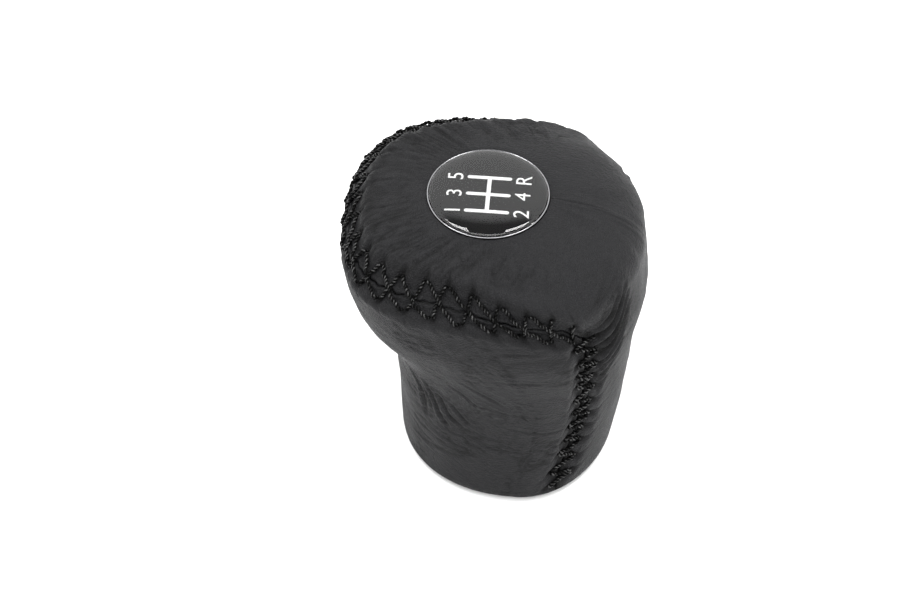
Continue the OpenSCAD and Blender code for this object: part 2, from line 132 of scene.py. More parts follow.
def through(xs, ys, x):
    """A smooth curve through the values ys at the places xs"""
    xs, ys = np.array(xs, float), np.array(ys, float)
    low, high = np.r_[0, : len(xs) - 1], np.r_[1 : len(xs), len(xs) - 1]
    slope = (ys[high] - ys[low]) / (xs[high] - xs[low])
    i = np.clip(np.searchsorted(xs, x, side="right") - 1, 0, len(xs) - 2)
    h = xs[i + 1] - xs[i]
    w = (x - xs[i]) / h
    return ((1 + 2 * w) * (1 - w) ** 2 * ys[i] + w * (1 - w) ** 2 * h * slope[i]
            + w * w * (3 - 2 * w) * ys[i + 1] + w * w * (w - 1) * h * slope[i + 1])


print("a quarter of the way, a soft step is at", round(float(ease(0.25)), 3))

# %% Rings and dome


def ring_point(turn, h):
    """The plan ring at a height, by the turn from the nose in degrees"""
    z = np.minimum(h, shoulder_h)
    w = ease((z - square_from) / (square_to - square_from))
    middle = through([0, shoulder_h / 2, shoulder_h], widest, z)
    c, s = np.cos(np.radians(turn)), np.sin(np.radians(turn))
    n = np.where(c >= 0, mix(*square_front, w), mix(*square_rear, w))
    reach = np.where(c >= 0, through(levels, fronts, z) - middle, through(levels, rears, z) + middle)
    x = through(levels, sides, z) * np.sign(s) * np.abs(s) ** (2 / n)
    return x, middle + reach * np.sign(c) * np.abs(c) ** (2 / n)


def crown_angle(past):
    return 90 * (1 - np.maximum(0, 1 - past / crown_len) ** crown_ease)


def crown_past(angle):
    return crown_len * (1 - (1 - angle / 90) ** (1 / crown_ease))


def outline(turn, t):
    """A point of the outline. turn is in degrees from the nose, and t the height, which goes on
    over the crown as a distance past the shoulder."""
    turn, t = np.broadcast_arrays(np.asarray(turn, float), np.asarray(t, float))
    x, y = ring_point(turn, t)
    a = np.radians(np.where(t > shoulder_h, crown_angle(np.maximum(t - shoulder_h, 0)), 0))
    s = np.cos(a) ** (2 / crown_flatness)
    y = mix(crown_peak_y, y, s)
    z = np.minimum(t, shoulder_h) + crown_rise * np.sin(a)
    return np.stack([x * s, y, z + crown_tilt * y * np.minimum(1, z / shoulder_h)], -1)


def outward(turn, t, rise_step=0.8, turn_step=0.4):
    """The way out of the surface, from four points around"""
    n = np.cross(outline(turn, t + rise_step) - outline(turn, t - rise_step),
                 outline(turn + turn_step, t) - outline(turn - turn_step, t))
    return n / np.linalg.norm(n, axis=-1, keepdims=True)


print("the nose reaches", outline(0, shoulder_h).round(1), "and the crown peaks at", outline(0, 79).round(1))

# %% [markdown]
# ## The seams
# Two panels cover the core: the crown, which runs on down the back as a strip, and the skirt
# around the front and the sides. They meet in one seam around the head and in two that run down
# to the base. Each point of the leather needs to know how far along a seam it lies and how far
# from it, because the leather dips, gathers and creases by those two lengths.

# %% Lines of the seams
seam_up, seam_rise, seam_sag, seam_peak_y = 2.7, 0.176, 8, 5
side_seam_base, side_seam_top = 115.6, 127.3
seam_wave, corner_dip, corner_turn = 0.2, 1.9, 9  # a hand cut edge wanders, and rounds its corner
edge_gap, seam_gap = 0.26, 0.6
channel_depth, channel_half, channel_at_base, channel_fade = 1.1, 3.5, 0.4, 6
crown_puff, puff_at = 0.3, 5
badge_d, badge_y, badge_clear = 22, 5.1, 0.25
no_head_seam = 1000  # stands for a height over the head seam where there is none, on the strip
print("the seam rises", round(seam_rise * (fronts[-1] + rears[-1]), 1), "mm from the back to the nose")

# %% Course of the seams


def seam_t(turn):
    """Where the head seam lies, as a height over the outline"""
    y = ring_point(turn, np.full(np.shape(turn), shoulder_h))[1]
    up = seam_up + seam_rise * y - seam_sag * ((y - seam_peak_y) / fronts[-1]) ** 2
    up += seam_wave * np.sin(0.83 * turn + 1) * np.sin(0.31 * turn)
    up -= corner_dip * ease((np.abs(turn) - side_seam_top + corner_turn) / corner_turn)
    a = np.degrees(np.arcsin(np.clip(up / crown_rise, 0, 1)))
    return np.where(up <= 0, shoulder_h + up, shoulder_h + crown_past(a))


corner_t = float(seam_t(np.array(side_seam_top)))


def side_turn(t):
    return mix(side_seam_base, side_seam_top, np.minimum(1, t / corner_t))


print("the seams meet", round(corner_t, 1), "mm up")

# %% Lengths along the seams


def mm_per_degree(turn, t):
    return np.linalg.norm(outline(turn + 0.5, t) - outline(turn - 0.5, t), axis=-1)


def lengths(points):
    return np.r_[0, np.cumsum(np.linalg.norm(np.diff(points, axis=0), axis=1))]


head_turns = np.linspace(-side_seam_top, side_seam_top, 400)
head_lengths = lengths(outline(head_turns, seam_t(head_turns)))
side_ts = np.linspace(base_t, corner_t, 200)
side_lengths = lengths(outline(side_turn(side_ts), side_ts))
print("the head seam is", round(head_lengths[-1], 1), "mm long, each side seam", round(side_lengths[-1], 1))

# %% Place of a point beside the seams


def seam_places(turn, t):
    """For each point: along and above the head seam, along and behind the side seam, and the
    distance from the nearest one"""
    a = np.abs(turn)
    low = np.minimum(t, corner_t)
    in_front = a < side_seam_top
    above = np.where(in_front, t - seam_t(turn), no_head_seam)
    along = np.interp(turn, head_turns, head_lengths)
    behind = (a - side_turn(low)) * mm_per_degree(side_turn(low), low)
    climbed = np.interp(low, side_ts, side_lengths) + np.maximum(t - corner_t, 0)
    to_side = np.hypot(behind, np.maximum(t - corner_t, 0))
    nearest = np.where(in_front & (above > 0), above, np.minimum(np.abs(behind), np.abs(above)))
    nearest = np.where(in_front, nearest, to_side)
    return along, above, climbed, behind, nearest


def channel(d, t):
    """How deep the leather sinks at a distance d from the nearest seam"""
    depth = channel_depth * mix(channel_at_base, 1, ease((t - base_t) / channel_fade))
    return depth * step_down(d, seam_gap, channel_half - seam_gap)


print("in a seam the leather sinks", round(float(channel(0, corner_t)), 1), "mm, at the hem",
      round(float(channel(0, base_t)), 2))

# %% [markdown]
# ## The lacing holes
# A saddler laces the two edges with one thick waxed thread, across the gap and back through
# holes that are staggered on the two sides. Hand work is never quite even, so each hole is a
# little off its place. The holes come before the leather, because they pull dimples into it.

# %% Holes along each seam
lacing_reach, head_pitch, side_pitch, lacing_d = 2.9, 5.4, 4, 0.6
hole_wander, stitch_bow = 0.4, 0.5
draw = np.random.default_rng(7)


def lacing_holes(start, end, pitch, reach, lean):
    """Low holes, then high holes, each as (along, across)"""
    n = int((end - start - abs(lean)) // pitch)
    first = (start + end - n * pitch - lean) / 2
    low = np.stack([first + np.arange(n + 1) * pitch, np.full(n + 1, -reach)], -1)
    high = low * [1, -1.15] + [lean, 0]
    return np.concatenate([low, high]) + draw.uniform(-hole_wander, hole_wander, (2 * n + 2, 2))


head_holes = lacing_holes(0.9, head_lengths[-1] - 0.9, head_pitch, lacing_reach, -0.2 * head_pitch)
side_holes = lacing_holes(1, side_lengths[-1] - 0.4, side_pitch, lacing_reach * 0.8, side_pitch / 2)
head_n, side_n = len(head_holes) // 2, len(side_holes) // 2
# Around the head each thread runs up square to the seam, then slants down past the next hole
head_legs = [(k, head_n + k) for k in range(head_n)] + [(head_n + k, k - 2) for k in range(2, head_n)]
side_legs = [(k, side_n + k) for k in range(side_n)] + [(side_n + k, k + 1) for k in range(side_n - 1)]
print(len(head_holes), "holes around the head and", len(side_holes), "down each side")

# %% [markdown]
# ## The relief of the leather
# Stretched leather is never smooth. It dimples at each hole, swells between them, gathers in
# long folds where a wide panel is drawn into a narrow seam, and creases across the hollow of the
# neck. A sculptor would carve these by hand. Here they are a height over the outline, added up
# from dimples, folds drawn as lines, and stretched noise, so that they stay editable.

# %% Noise


def noise(x, y, seed):
    """Smooth hills between -1 and 1, about one for each unit of x and y"""
    table = np.random.default_rng(seed).uniform(-1, 1, (128, 128))
    i, j = np.floor(x).astype(int), np.floor(y).astype(int)
    u, v = ease(x - i), ease(y - j)
    i, j, right, up = i % 128, j % 128, (i + 1) % 128, (j + 1) % 128
    return mix(mix(table[i, j], table[right, j], u), mix(table[i, up], table[right, up], u), v)


def sharp(x, y, seed):
    """Narrow valleys between round ridges, from 0 in a valley's line to 1 on a ridge"""
    return np.abs(noise(x, y, seed)) ** 0.7


print("one hill of noise:", noise(np.linspace(0, 1, 5), np.zeros(5), 5).round(2))

# %% Bells and distances


def bell(d, width):
    return np.exp(-((d / width) ** 2))


def to_line(x, y, line):
    """Distance from a line through points, and the share of the way along it"""
    best = np.full(np.shape(x), 1e9)
    share = np.zeros(np.shape(x))
    steps = lengths(np.array(line, float))
    for k in range(len(line) - 1):
        (ax, ay), (bx, by) = line[k], line[k + 1]
        dx, dy = bx - ax, by - ay
        w = np.clip(((x - ax) * dx + (y - ay) * dy) / (dx * dx + dy * dy), 0, 1)
        d = np.hypot(x - ax - w * dx, y - ay - w * dy)
        nearer = d < best
        best = np.where(nearer, d, best)
        share = np.where(nearer, (steps[k] + w * (steps[k + 1] - steps[k])) / steps[-1], share)
    return best, share


print("a point over the middle of a line:", *(float(v) for v in to_line(1, 1, [(0, 0), (2, 0)])))

# %% Folds
# Each is a width, a depth and its places, and each place a turn from the nose and a height
neck_folds = [
    (0.6, 0.42, [(35, 28.5), (38.5, 26.5), (41.5, 22), (42, 16)]),
    (0.5, 0.4, [(46.5, 28), (48.5, 24), (50.5, 19), (55, 16)]),
    (0.45, 0.36, [(53, 25), (56, 19.8), (62, 17.6)]),
    (0.4, 0.26, [(58, 24.5), (62, 21), (66, 19)]),
    (0.4, 0.22, [(73, 34.6), (75, 32), (79, 29.6), (82, 27.5)]),
    (0.35, 0.2, [(64, 31), (68, 28.4), (71, 25)]),
    (0.35, 0.2, [(44, 25), (46, 21), (47.5, 18)]),
    (0.35, 0.16, [(84, 36.4), (92, 36.9), (102, 36.6)]),
    (0.3, 0.13, [(90, 44.8), (97, 45.3), (105, 45)]),
    (0.35, 0.13, [(82, 20.6), (94, 20), (107, 20.5)]),
    (0.3, 0.1, [(72, 26), (84, 25), (98, 25.4)]),
]
corner_folds = [
    (0.42, 0.34, [(127.5, 44.2), (131, 45.8), (137, 46.8), (143, 48), (149, 51.8)]),
    (0.45, 0.44, [(127.5, 41.6), (130, 43.6), (135, 44.6), (142, 45.4), (148, 47.8), (154, 51.6)]),
    (0.42, 0.42, [(127.5, 38.6), (130, 41.2), (134, 42.4), (141, 43.1), (148, 45.2), (155, 49.2)]),
    (0.48, 0.48, [(127, 34.8), (129.4, 38), (133, 40), (140, 41.2), (147, 43), (155, 46.4)]),
    (0.42, 0.42, [(126.6, 31), (128.6, 34.4), (132, 37.2), (137, 38.8), (143, 40.4), (152, 43.8)]),
    (0.45, 0.44, [(126.2, 27.2), (128.4, 30.6), (131.5, 34.2), (135.5, 36), (141, 37.4), (147, 39.8)]),
    (0.4, 0.34, [(126.4, 24.4), (129.4, 28), (133, 31.6), (138, 34.2), (144, 36.2)]),
    (0.4, 0.26, [(126.2, 21.8), (129.4, 25.2), (133.2, 28.6), (137.5, 31)]),
]


def smooth_line(places, steps=6):
    """A fold's places with rounded bends, along a curve that passes through each of them"""
    places = np.array(places, float)
    k = np.arange(len(places))
    at = np.linspace(0, k[-1], steps * k[-1] + 1)
    return np.stack([through(k, places[:, 0], at), through(k, places[:, 1], at)], -1)


def folded(turn, t, folds):
    """Depth of the folds, each a valley with a swelling on both sides that tapers to its ends"""
    scale = np.mean(mm_per_degree(turn, t))
    out = np.zeros(np.shape(turn))
    # No two sides crease alike, so on the right the folds are shifted and bent a little
    a = np.abs(turn) + np.where(turn > 0, 2.5 * np.sin(t / 4) - 4, 0) * (np.abs(turn) < side_seam_base)
    t = t + np.where(turn > 0, 1.6 * np.sin(np.abs(turn) / 6), 0)
    for width, depth, line in folds:
        mean_turn = np.mean([p[0] for p in line])
        places = [((p[0] - mean_turn) * scale, p[1]) for p in smooth_line(line)]
        d, share = to_line((a - mean_turn) * scale, t, places)
        taper = np.sin(np.pi * np.clip(share * 0.9 + 0.05, 0, 1)) ** 0.6
        out -= depth * taper * (bell(d, width) - 0.4 * bell(d - 1.9 * width, 0.8 * width))
    return out


print(len(neck_folds), "folds across the front and sides, and", len(corner_folds), "at each corner")

# %% Dimples


def dimpled(along, across, holes, legs, pitch):
    """Dimples at the holes, a furrow past each, a groove under each stitch, and swellings between"""
    dimple, furrow, groove, swelling = 0.5, 0.2, 0.13, 0.16
    out = np.zeros(np.shape(along))
    near = np.abs(across) < 7
    x, y = along[near], across[near]
    dip = np.zeros(x.shape)
    for hx, hy in holes:
        dip -= dimple * bell(x - hx, 0.75) * bell(y - hy, 0.85)
        past = np.sign(hy) * (y - hy)
        dip -= furrow * bell(x - hx - 0.7 * (y - hy), 0.45) * ease(past / 0.8) * step_down(past, 0.8, 2.4)
    for i, j in legs:
        d, _ = to_line(x, y, [holes[i], holes[j]])
        dip -= groove * bell(d, 0.38)
    first = np.where(y < 0, holes[0][0], holes[len(holes) // 2][0])
    swell = 0.5 - 0.5 * np.cos(2 * np.pi * (x - first) / pitch)
    dip += swelling * swell * bell(np.abs(y) - 2.1, 1.1)
    out[near] = dip
    return out


print("at its first hole the head seam dips",
      dimpled(head_holes[:1, 0], head_holes[:1, 1], head_holes, head_legs, head_pitch).round(2), "mm")

# %% Fine creases


def fine_creases(turn, t):
    """Height of the gathers and fine creases, and how deep in one of their valleys a point lies"""
    _, above, _, behind, nearest = seam_places(turn, t)
    a, up = np.abs(turn), np.where(above < no_head_seam, above, 0)
    scale = mm_per_degree(turn, np.minimum(t, shoulder_h))
    x = turn * scale
    patch = ease(0.75 + noise(x / 9, t / 5, 3))
    # Gathers that leave the head seam over the crown, leaning back more and more
    gather = ease((above - 1.2) / 2) * step_down(above, 5, 11) * step_down(a, 117, 10) * patch
    q = a * np.mean(scale) - mix(0.1, 0.9, ease(a / 120)) * up
    # Creases that lie level on the skirt, slanting ones across the neck, and those of the strip
    below = ease((-above - 2) / 2) * step_down(-above, 12, 14) * patch
    level = ease(2.5 * noise(x / 7, t / 5, 21)) * (above < 0) * (nearest > 3)
    neck = ease(1.2 - np.abs(t - 22) / 11) * ease(1.4 - np.abs(a - 62) / 34) * (behind < 0)
    bunch = ease(behind / 2) * step_down(behind, 7, 9) * ease((t - 24) / 12) * step_down(t, 50, 8)
    height = valley = np.zeros(np.shape(above))
    for seed, depth, where, u, v in (
            (11, 0.28, gather, q / 1.5, above / 4),
            (12, 0.18, gather, q / 0.75, above / 2),
            (13, 0.09, below, x / 6.5, t / 1.1),
            (22, 0.2, level, x / 5, t / 0.9 + 0.3 * noise(x / 3, t / 3, 23)),
            (14, 0.13, neck, (x + 1.4 * t) / 1.7, (t - 0.6 * x) / 6),
            (16, 0.09, neck, (x + 1.2 * t) / 0.9, (t - 0.6 * x) / 3),
            (15, 0.22, bunch, behind / 9, (t - 0.35 * behind) / 1.5)):
        ridge = sharp(u, v, seed)
        height = height + depth * where * (ridge - 0.5)
        valley = np.maximum(valley, min(1, depth / 0.2) * where * (1 - ridge) ** 3)
    return height, valley


print("the creases under the corner:", fine_creases(np.full(3, 130.0), np.array([30.0, 35, 40]))[0].round(2))

# %% The whole relief


def relief(turn, t):
    """Height of the leather's surface over the outline, in millimetres"""
    along, above, climbed, behind, nearest = seam_places(turn, t)
    a = np.abs(turn)
    x = turn * mm_per_degree(turn, np.minimum(t, shoulder_h))
    on_crown = (above > 0) & (above < no_head_seam)
    puff = crown_puff * np.sin(np.pi / 2 * nearest / puff_at) ** 2 * (nearest < 2 * puff_at)
    # The crown bulges over the band that the lacing draws down flat between its holes
    out = np.where(on_crown, puff + 0.42 * bell(above - 4.5, 1.2), 0) - channel(nearest, t)
    drawn = ease((nearest - 0.5) / 1.1) * step_down(nearest, 2.7, 1.5) * ease((t - base_t) / channel_fade)
    out -= np.where(a < side_seam_top, 0.5, 0.3) * drawn
    # The two seams' dimples, which end where their own panel edge does, and the edge rolling over
    far = 50
    above_here = np.where(above < no_head_seam, above, far)
    behind_here = np.where(t > corner_t + 1.5, far, behind)
    out += np.where(a < side_seam_top + 2, dimpled(along, above_here, head_holes, head_legs, head_pitch), 0)
    out += dimpled(climbed, behind_here, side_holes, side_legs, side_pitch)
    rolled = np.clip(1 - (nearest - edge_gap / 2) / 0.6, 0, 1)
    out -= 0.45 * (1 - np.sqrt(1 - rolled**2 * 0.98))
    # Folds where the strip is drawn into the side seam, and across the neck
    out += np.where(behind > 0, folded(turn, t, corner_folds) * ease(behind / 1.5), 0)
    out += np.where(behind < 0, folded(turn, t, neck_folds), 0)
    # Fine creases and a broad unevenness, all of it fading out towards the hem
    out += fine_creases(turn, t)[0] + 0.12 * noise(x / 11, t / 9, 5) + 0.08 * noise(x / 5, t / 3.5, 6)
    return out * ease((t - base_t + 1) / 3)


probe = relief(np.linspace(-100, 100, 400), np.full(400, 45.0))
print("on a ring at 45 mm the relief goes from", probe.min().round(2), "to", probe.max().round(2), "mm")

# %% Valleys for painted shade


def crease(turn, t):
    """How much a point lies in a valley, from 0 to 1: painted shade, which darkens the leather and takes away
    its shine there
    """
    along, above, climbed, behind, nearest = seam_places(turn, t)
    band_end = np.where(above > 0, 3.4, 3.5)
    head = 0.25 * step_down(nearest, 2.3, 1.3) + 0.35 * bell(nearest - band_end, 0.65)
    side = 0.9 * step_down(nearest, 0.5, 2.2)
    out = np.where(np.abs(above) < np.abs(behind), head, side)
    for holes, x, y in ((head_holes, along, above), (side_holes, climbed, behind)):
        for hx, hy in holes:
            out = np.maximum(out, 0.9 * np.exp(-(((x - hx) ** 2 + (y - hy) ** 2) / 0.7)))
    out = np.maximum(out, 0.85 * fine_creases(turn, t)[1])
    folds = np.where(behind > 0, folded(turn, t, corner_folds), folded(turn, t, neck_folds))
    return np.clip(out + 1.5 * np.maximum(0, -folds), 0, 1)


probe = crease(np.linspace(-100, 100, 400), np.full(400, 45.0))
print("on the same ring", round(100 * float(np.mean(probe > 0.3))), "% lies in valleys")

# %% [markdown]
# ## The two leather panels
# Each panel is one sheet of leather 1.2 mm thick. It could be a plane that a cloth simulation
# wraps over the core, but a panel cut and stretched by hand lies where the saddler wants it, so
# it is built as a net of rows and columns over the outline instead. The rows crowd together at
# the seams, where the relief is finest. The hidden inner face has half as many.

# %% Columns
skirt_columns, strip_columns = 330, 110
skirt_rows, strip_rows, crown_rows = 112, 96, 46
edge_steps = edge_gap / 2 + np.r_[0, 0.08, 0.18, 0.3, 0.45, np.arange(0.65, 6.2, 0.24)]
edge_zone = edge_steps[-1]


def odd(n):
    """The next odd count: both ends of an odd row stay when every second point is left out"""
    return int(n) // 2 * 2 + 1


def columns(count):
    """Pairs of a share of the stretch between the seams and a distance from the nearer seam"""
    inner = np.linspace(-1, 1, odd(count))[1:-1]
    shares = np.r_[np.full(len(edge_steps), -1), inner, np.full(len(edge_steps), 1)]
    gaps = np.r_[edge_steps, np.full(len(inner), edge_zone), edge_steps[::-1]]
    return shares, gaps


def pulled_open(climbed, strip):
    """How far each stitch draws the cut edge back from the side seam"""
    holes = side_holes[side_n:] if strip else side_holes[:side_n]
    return 0.55 * bell(np.subtract.outer(climbed, holes[:, 0]), 0.55).sum(-1)


def column_turn(shares, gaps, t, strip):
    """Where the columns of a panel cross the height t, as turns from the nose"""
    low = np.minimum(t, corner_t)
    a = side_turn(low)
    pull = pulled_open(np.interp(low, side_ts, side_lengths), strip) * step_down(gaps, 0, 2.5)
    inset = (gaps + pull) / mm_per_degree(a, low)
    return 180 + shares * (180 - a - inset) if strip else shares * (a - inset)


skirt_shares, skirt_gaps = columns(skirt_columns)
strip_shares, strip_gaps = columns(strip_columns)
print(len(skirt_shares), "columns on the skirt and", len(strip_shares), "on the strip")

# %% Outer face, inner face and hem


def surface(turn, t):
    return outline(turn, t) + outward(turn, t) * relief(turn, t)[..., None]


def underside(turn, t):
    depth = leather_t + channel(seam_places(turn, t)[-1], t)
    return outline(turn, t) - outward(turn, t) * depth[..., None]


def hem(turn, bend, inwards, below):
    """The leather's turned edge: around the bend under the base, then in along the flap"""
    p, n = outline(turn, base_t), outward(turn, base_t)
    side = n * [1, 1, 0]
    side /= np.linalg.norm(side, axis=-1, keepdims=True)
    r = hem_r - below
    p = np.stack([p[..., 0], p[..., 1], np.full(p.shape[:-1], base_t)], -1)
    return p + side * (r * math.cos(bend) - hem_r - inwards) - np.array([0, 0, r * math.sin(bend)])


print("the hem's lowest point is", hem(np.zeros(1), math.pi / 2, 0, 0).round(2))

# %% Rows of the stem


def wrap(turn):
    """The same turn between -180 and 180 degrees"""
    return np.where(turn > 180, turn - 360, turn)


def stem_rows(shares, gaps, strip, count):
    """Outer and inner points of the rows from the hem up to the head seam's line, and the painted shade of
    their creases
    """
    outer, inner, creases = [], [], []
    hem_turn = wrap(column_turn(shares, gaps, np.full(shares.shape, base_t), strip))
    for bend, inwards in [(90, w) for w in np.linspace(hem_w, 0, 6)] + [(b, 0) for b in (72, 54, 36, 18)]:
        outer.append(hem(hem_turn, math.radians(bend), inwards, 0))
        inner.append(hem(hem_turn, math.radians(bend), inwards, leather_t))
        creases.append(crease(hem_turn, base_t))
    top = seam_t(column_turn(shares, gaps, np.full(shares.shape, corner_t), strip))
    spread = np.linspace(0, 1, odd(count))[:-1]
    heights = [base_t + w * (top - edge_zone - base_t) for w in spread]
    heights += [top - e for e in edge_steps[::-1]]
    if strip:
        # The strip has no edge at the top, so its last rows leave room for the join to the crown
        heights = heights[:-4] + [heights[-4] * (1 - w) + top * w for w in (0, 0.3, 0.65)]
        heights = heights[: odd(len(heights) - 1)]
    for t in heights:
        turn = wrap(column_turn(shares, gaps, t, strip))
        outer.append(surface(turn, t))
        inner.append(underside(turn, t))
        creases.append(crease(turn, t))
    return np.array(outer), np.array(inner), np.concatenate(creases)


skirt_outer, skirt_inner, skirt_painted_shade = stem_rows(skirt_shares, skirt_gaps, False, skirt_rows)
print("the skirt has", skirt_outer.shape[0], "rows of", skirt_outer.shape[1], "points")

# %% [markdown]
# ## From nets to sheets
# A net of points becomes a closed shell: the outer face, the inner face turned the other way,
# and a wall along every edge. Leather's cut edge is what makes the seam's gap look real, so the
# wall is kept rather than leaving an open surface.

# %% Nets and meshes


def net_faces(rows, count, first=0, closed=False):
    """Four sided faces between the rows of a net whose points are numbered on from first"""
    faces = []
    for r in range(rows - 1):
        for c in range(count if closed else count - 1):
            d = (c + 1) % count
            a, b = first + r * count + c, first + r * count + d
            faces.append((a, b, b + count, a + count))
    return faces


def mesh_object(name, points, faces, material=None, smooth=True):
    """A piece from points in millimetres. A closed shell whose volume is negative is inside out."""
    mesh = bpy.data.meshes.new(name)
    mesh.from_pydata((np.asarray(points) * MM).tolist(), [], faces)
    mesh.calc_loop_triangles()
    co = np.array([v.co for v in mesh.vertices])
    corners = np.array([t.vertices for t in mesh.loop_triangles])
    a, b, c = (co[corners[:, k]] for k in range(3))
    volume = np.einsum("ij,ij->i", a, np.cross(b, c)).sum() / 6
    area = np.linalg.norm(np.cross(b - a, c - a), axis=1).sum() / 2
    if volume < 0:
        mesh.flip_normals()
    mesh.polygons.foreach_set("use_smooth", [smooth] * len(mesh.polygons))
    mesh.validate()
    if material:
        mesh.materials.append(material)
    print(name, "has", len(corners), "triangles,", round(abs(volume) / MM**3), "mm3 and",
          round(area / MM**2), "mm2")
    return add_object(name, mesh)


print("a net of 3 rows of 4 points has", len(net_faces(3, 4)), "faces")

# %% Walls and creases


def store_painted_shade(piece, values):
    """Stores the painted shade of the creases on the outer points, which come first. The hidden inner face
    has none.
    """
    layer = piece.data.attributes.new("crease", "FLOAT", "POINT")
    full = np.zeros(len(piece.data.vertices))
    full[: len(values)] = values
    layer.data.foreach_set("value", full)


def partners(rows, count, columns, first, inner_first):
    """The inner point that lies behind each outer one, which are every second row's and some columns'"""
    return {first + r * count + c: inner_first + r // 2 * len(columns) + k
            for r in range(0, rows, 2) for k, c in enumerate(columns)}


def wall_faces(run, partner):
    """Walls from a closed run of outer points to the inner points that some of them have"""
    start = next(k for k, v in enumerate(run) if v in partner)
    run = run[start:] + run[: start + 1]
    faces, held = [], [run[0]]
    for v in run[1:]:
        held.append(v)
        if v in partner:
            faces.append((partner[held[0]], partner[v], *held[::-1]))
            held = [v]
    return faces


print("walls of a run of 4 points, of which 2 have partners:", wall_faces([0, 1, 2, 3], {0: 4, 2: 5}))

# %% Skirt
rows, count = skirt_outer.shape[:2]
picked = skirt_inner[::2, ::2]
outer_n = rows * count
partner = partners(rows, count, range(0, count, 2), 0, outer_n)
edge = [*range(count), *(r * count + count - 1 for r in range(1, rows)),
        *((rows - 1) * count + c for c in range(count - 2, -1, -1)),
        *(r * count for r in range(rows - 2, 0, -1))]
faces = net_faces(rows, count)
faces += [f[::-1] for f in net_faces(*picked.shape[:2], outer_n)]
faces += wall_faces(edge, partner)
points = np.concatenate([skirt_outer.reshape(-1, 3), picked.reshape(-1, 3)])
skirt = mesh_object("skirt_leather_cover", points, faces)
store_painted_shade(skirt, skirt_painted_shade)

# %% [markdown]
# ## The crown panel
# The crown is a ring of leather around the badge's hole, and the strip down the back is one
# piece with it. So the strip's top row is joined to the crown's lowest row, and the rest of that
# row is the free edge that the lacing draws to the skirt.

# %% Crown and strip
badge_hole_r = badge_d / 2 + 0.1


def hole_t(turn, r):
    """Where the badge's hole cuts a column of the crown"""
    x, y = ring_point(turn, np.full(np.shape(turn), shoulder_h))
    y = y - crown_peak_y
    q = crown_peak_y - badge_y
    a, b, c = x * x + y * y, y * q, q * q - r**2
    s = (-b + np.sqrt(b * b - a * c)) / a
    return shoulder_h + crown_past(np.degrees(np.arccos(s ** (crown_flatness / 2))))


strip_outer, strip_inner, strip_painted_shade = stem_rows(strip_shares, strip_gaps, True, strip_rows)
at_corner = np.full(1, corner_t)
crown_turns = wrap(np.concatenate([column_turn(skirt_shares, skirt_gaps, at_corner, False),
                                   column_turn(strip_shares, strip_gaps, at_corner, True)]))
low, high = seam_t(crown_turns), hole_t(crown_turns, badge_hole_r)
spread = np.linspace(0, 1, odd(crown_rows))[1:]
crown_heights = [low + e for e in edge_steps] + [mix(low + edge_zone, high, w) for w in spread]
crown_heights = crown_heights[:-1] + [mix(crown_heights[-2], high, w) for w in (0.5, 0.8, 1)]
crown_outer = np.array([surface(crown_turns, t) for t in crown_heights])
# The leather dips at the badge's hole, and its cut edge there is upright
crown_outer[..., 2] -= [0.2 * np.clip(1 - (high - t) / 1.1, 0, 1) ** 2 for t in crown_heights]
crown_inner = np.array([underside(crown_turns, t) for t in crown_heights])
crown_inner[-1] = outline(crown_turns, high) - [0, 0, leather_t]
crown_painted_shade = [crease(crown_turns, t) for t in crown_heights]
print("the crown has", crown_outer.shape[0], "rows of", crown_outer.shape[1], "points, the strip",
      strip_outer.shape[:2])

# %% One shell from the strip and the crown
# The points are the strip's outer net, the crown's, and then every second point of the inner nets
s_rows, s_count = strip_outer.shape[:2]
c_rows, c_count = crown_outer.shape[:2]
front = len(skirt_shares)
assert s_rows % 2 and s_count % 2 and c_rows % 2 and front % 2
base = s_rows * s_count
outer_n = base + c_rows * c_count
strip_pick = strip_inner[::2, ::2]
crown_cols = [*range(0, front, 2), *range(front, c_count, 2)]
crown_pick = crown_inner[::2][:, crown_cols]
i_rows, i_count = strip_pick.shape[:2]
inner_base = outer_n + i_rows * i_count
partner = partners(s_rows, s_count, range(0, s_count, 2), 0, outer_n)
partner |= partners(c_rows, c_count, crown_cols, base, inner_base)
top = (s_rows - 1) * s_count
joining = [(top + c, top + c + 1, base + front + c + 1, base + front + c) for c in range(s_count - 1)]
i_top = outer_n + (i_rows - 1) * i_count
i_front = (front + 1) // 2
inner_joining = [(i_top + c, i_top + c + 1, inner_base + i_front + c + 1, inner_base + i_front + c)
                 for c in range(i_count - 1)]
edge = [*range(s_count), *(r * s_count + s_count - 1 for r in range(1, s_rows)), base + c_count - 1,
        *range(base, base + front + 1), *(r * s_count for r in range(s_rows - 1, 0, -1))]
hole = [base + (c_rows - 1) * c_count + c for c in range(c_count - 1, -1, -1)]
faces = net_faces(s_rows, s_count) + joining + net_faces(c_rows, c_count, base, closed=True)
faces += [f[::-1] for f in net_faces(i_rows, i_count, outer_n) + inner_joining
          + net_faces(*crown_pick.shape[:2], inner_base, closed=True)]
faces += wall_faces(edge, partner) + wall_faces(hole, partner)
points = np.concatenate([p.reshape(-1, 3) for p in (strip_outer, crown_outer, strip_pick, crown_pick)])
crown = mesh_object("crown_leather_cover", points, faces)
store_painted_shade(crown, np.concatenate([strip_painted_shade, *crown_painted_shade]))

# %% [markdown]
# ## Colours and nodes
# Every finish below is a small tree of shader nodes. A few helpers keep them short: one turns a
# colour as a paint chart gives it, in sRGB, to the linear light that the renderer counts in, one
# sets a node's values and links, and one adds a node. Where a finish is a single noise that
# shifts gloss, relief or tint, as on most pressed, moulded or printed things, one recipe does it.

# %% Helpers for materials


def colour(code):
    parts = [int(code[i : i + 2], 16) / 255 for i in (1, 3, 5)]
    return [p / 12.92 if p <= 0.04045 else ((p + 0.055) / 1.055) ** 2.4 for p in parts] + [1]


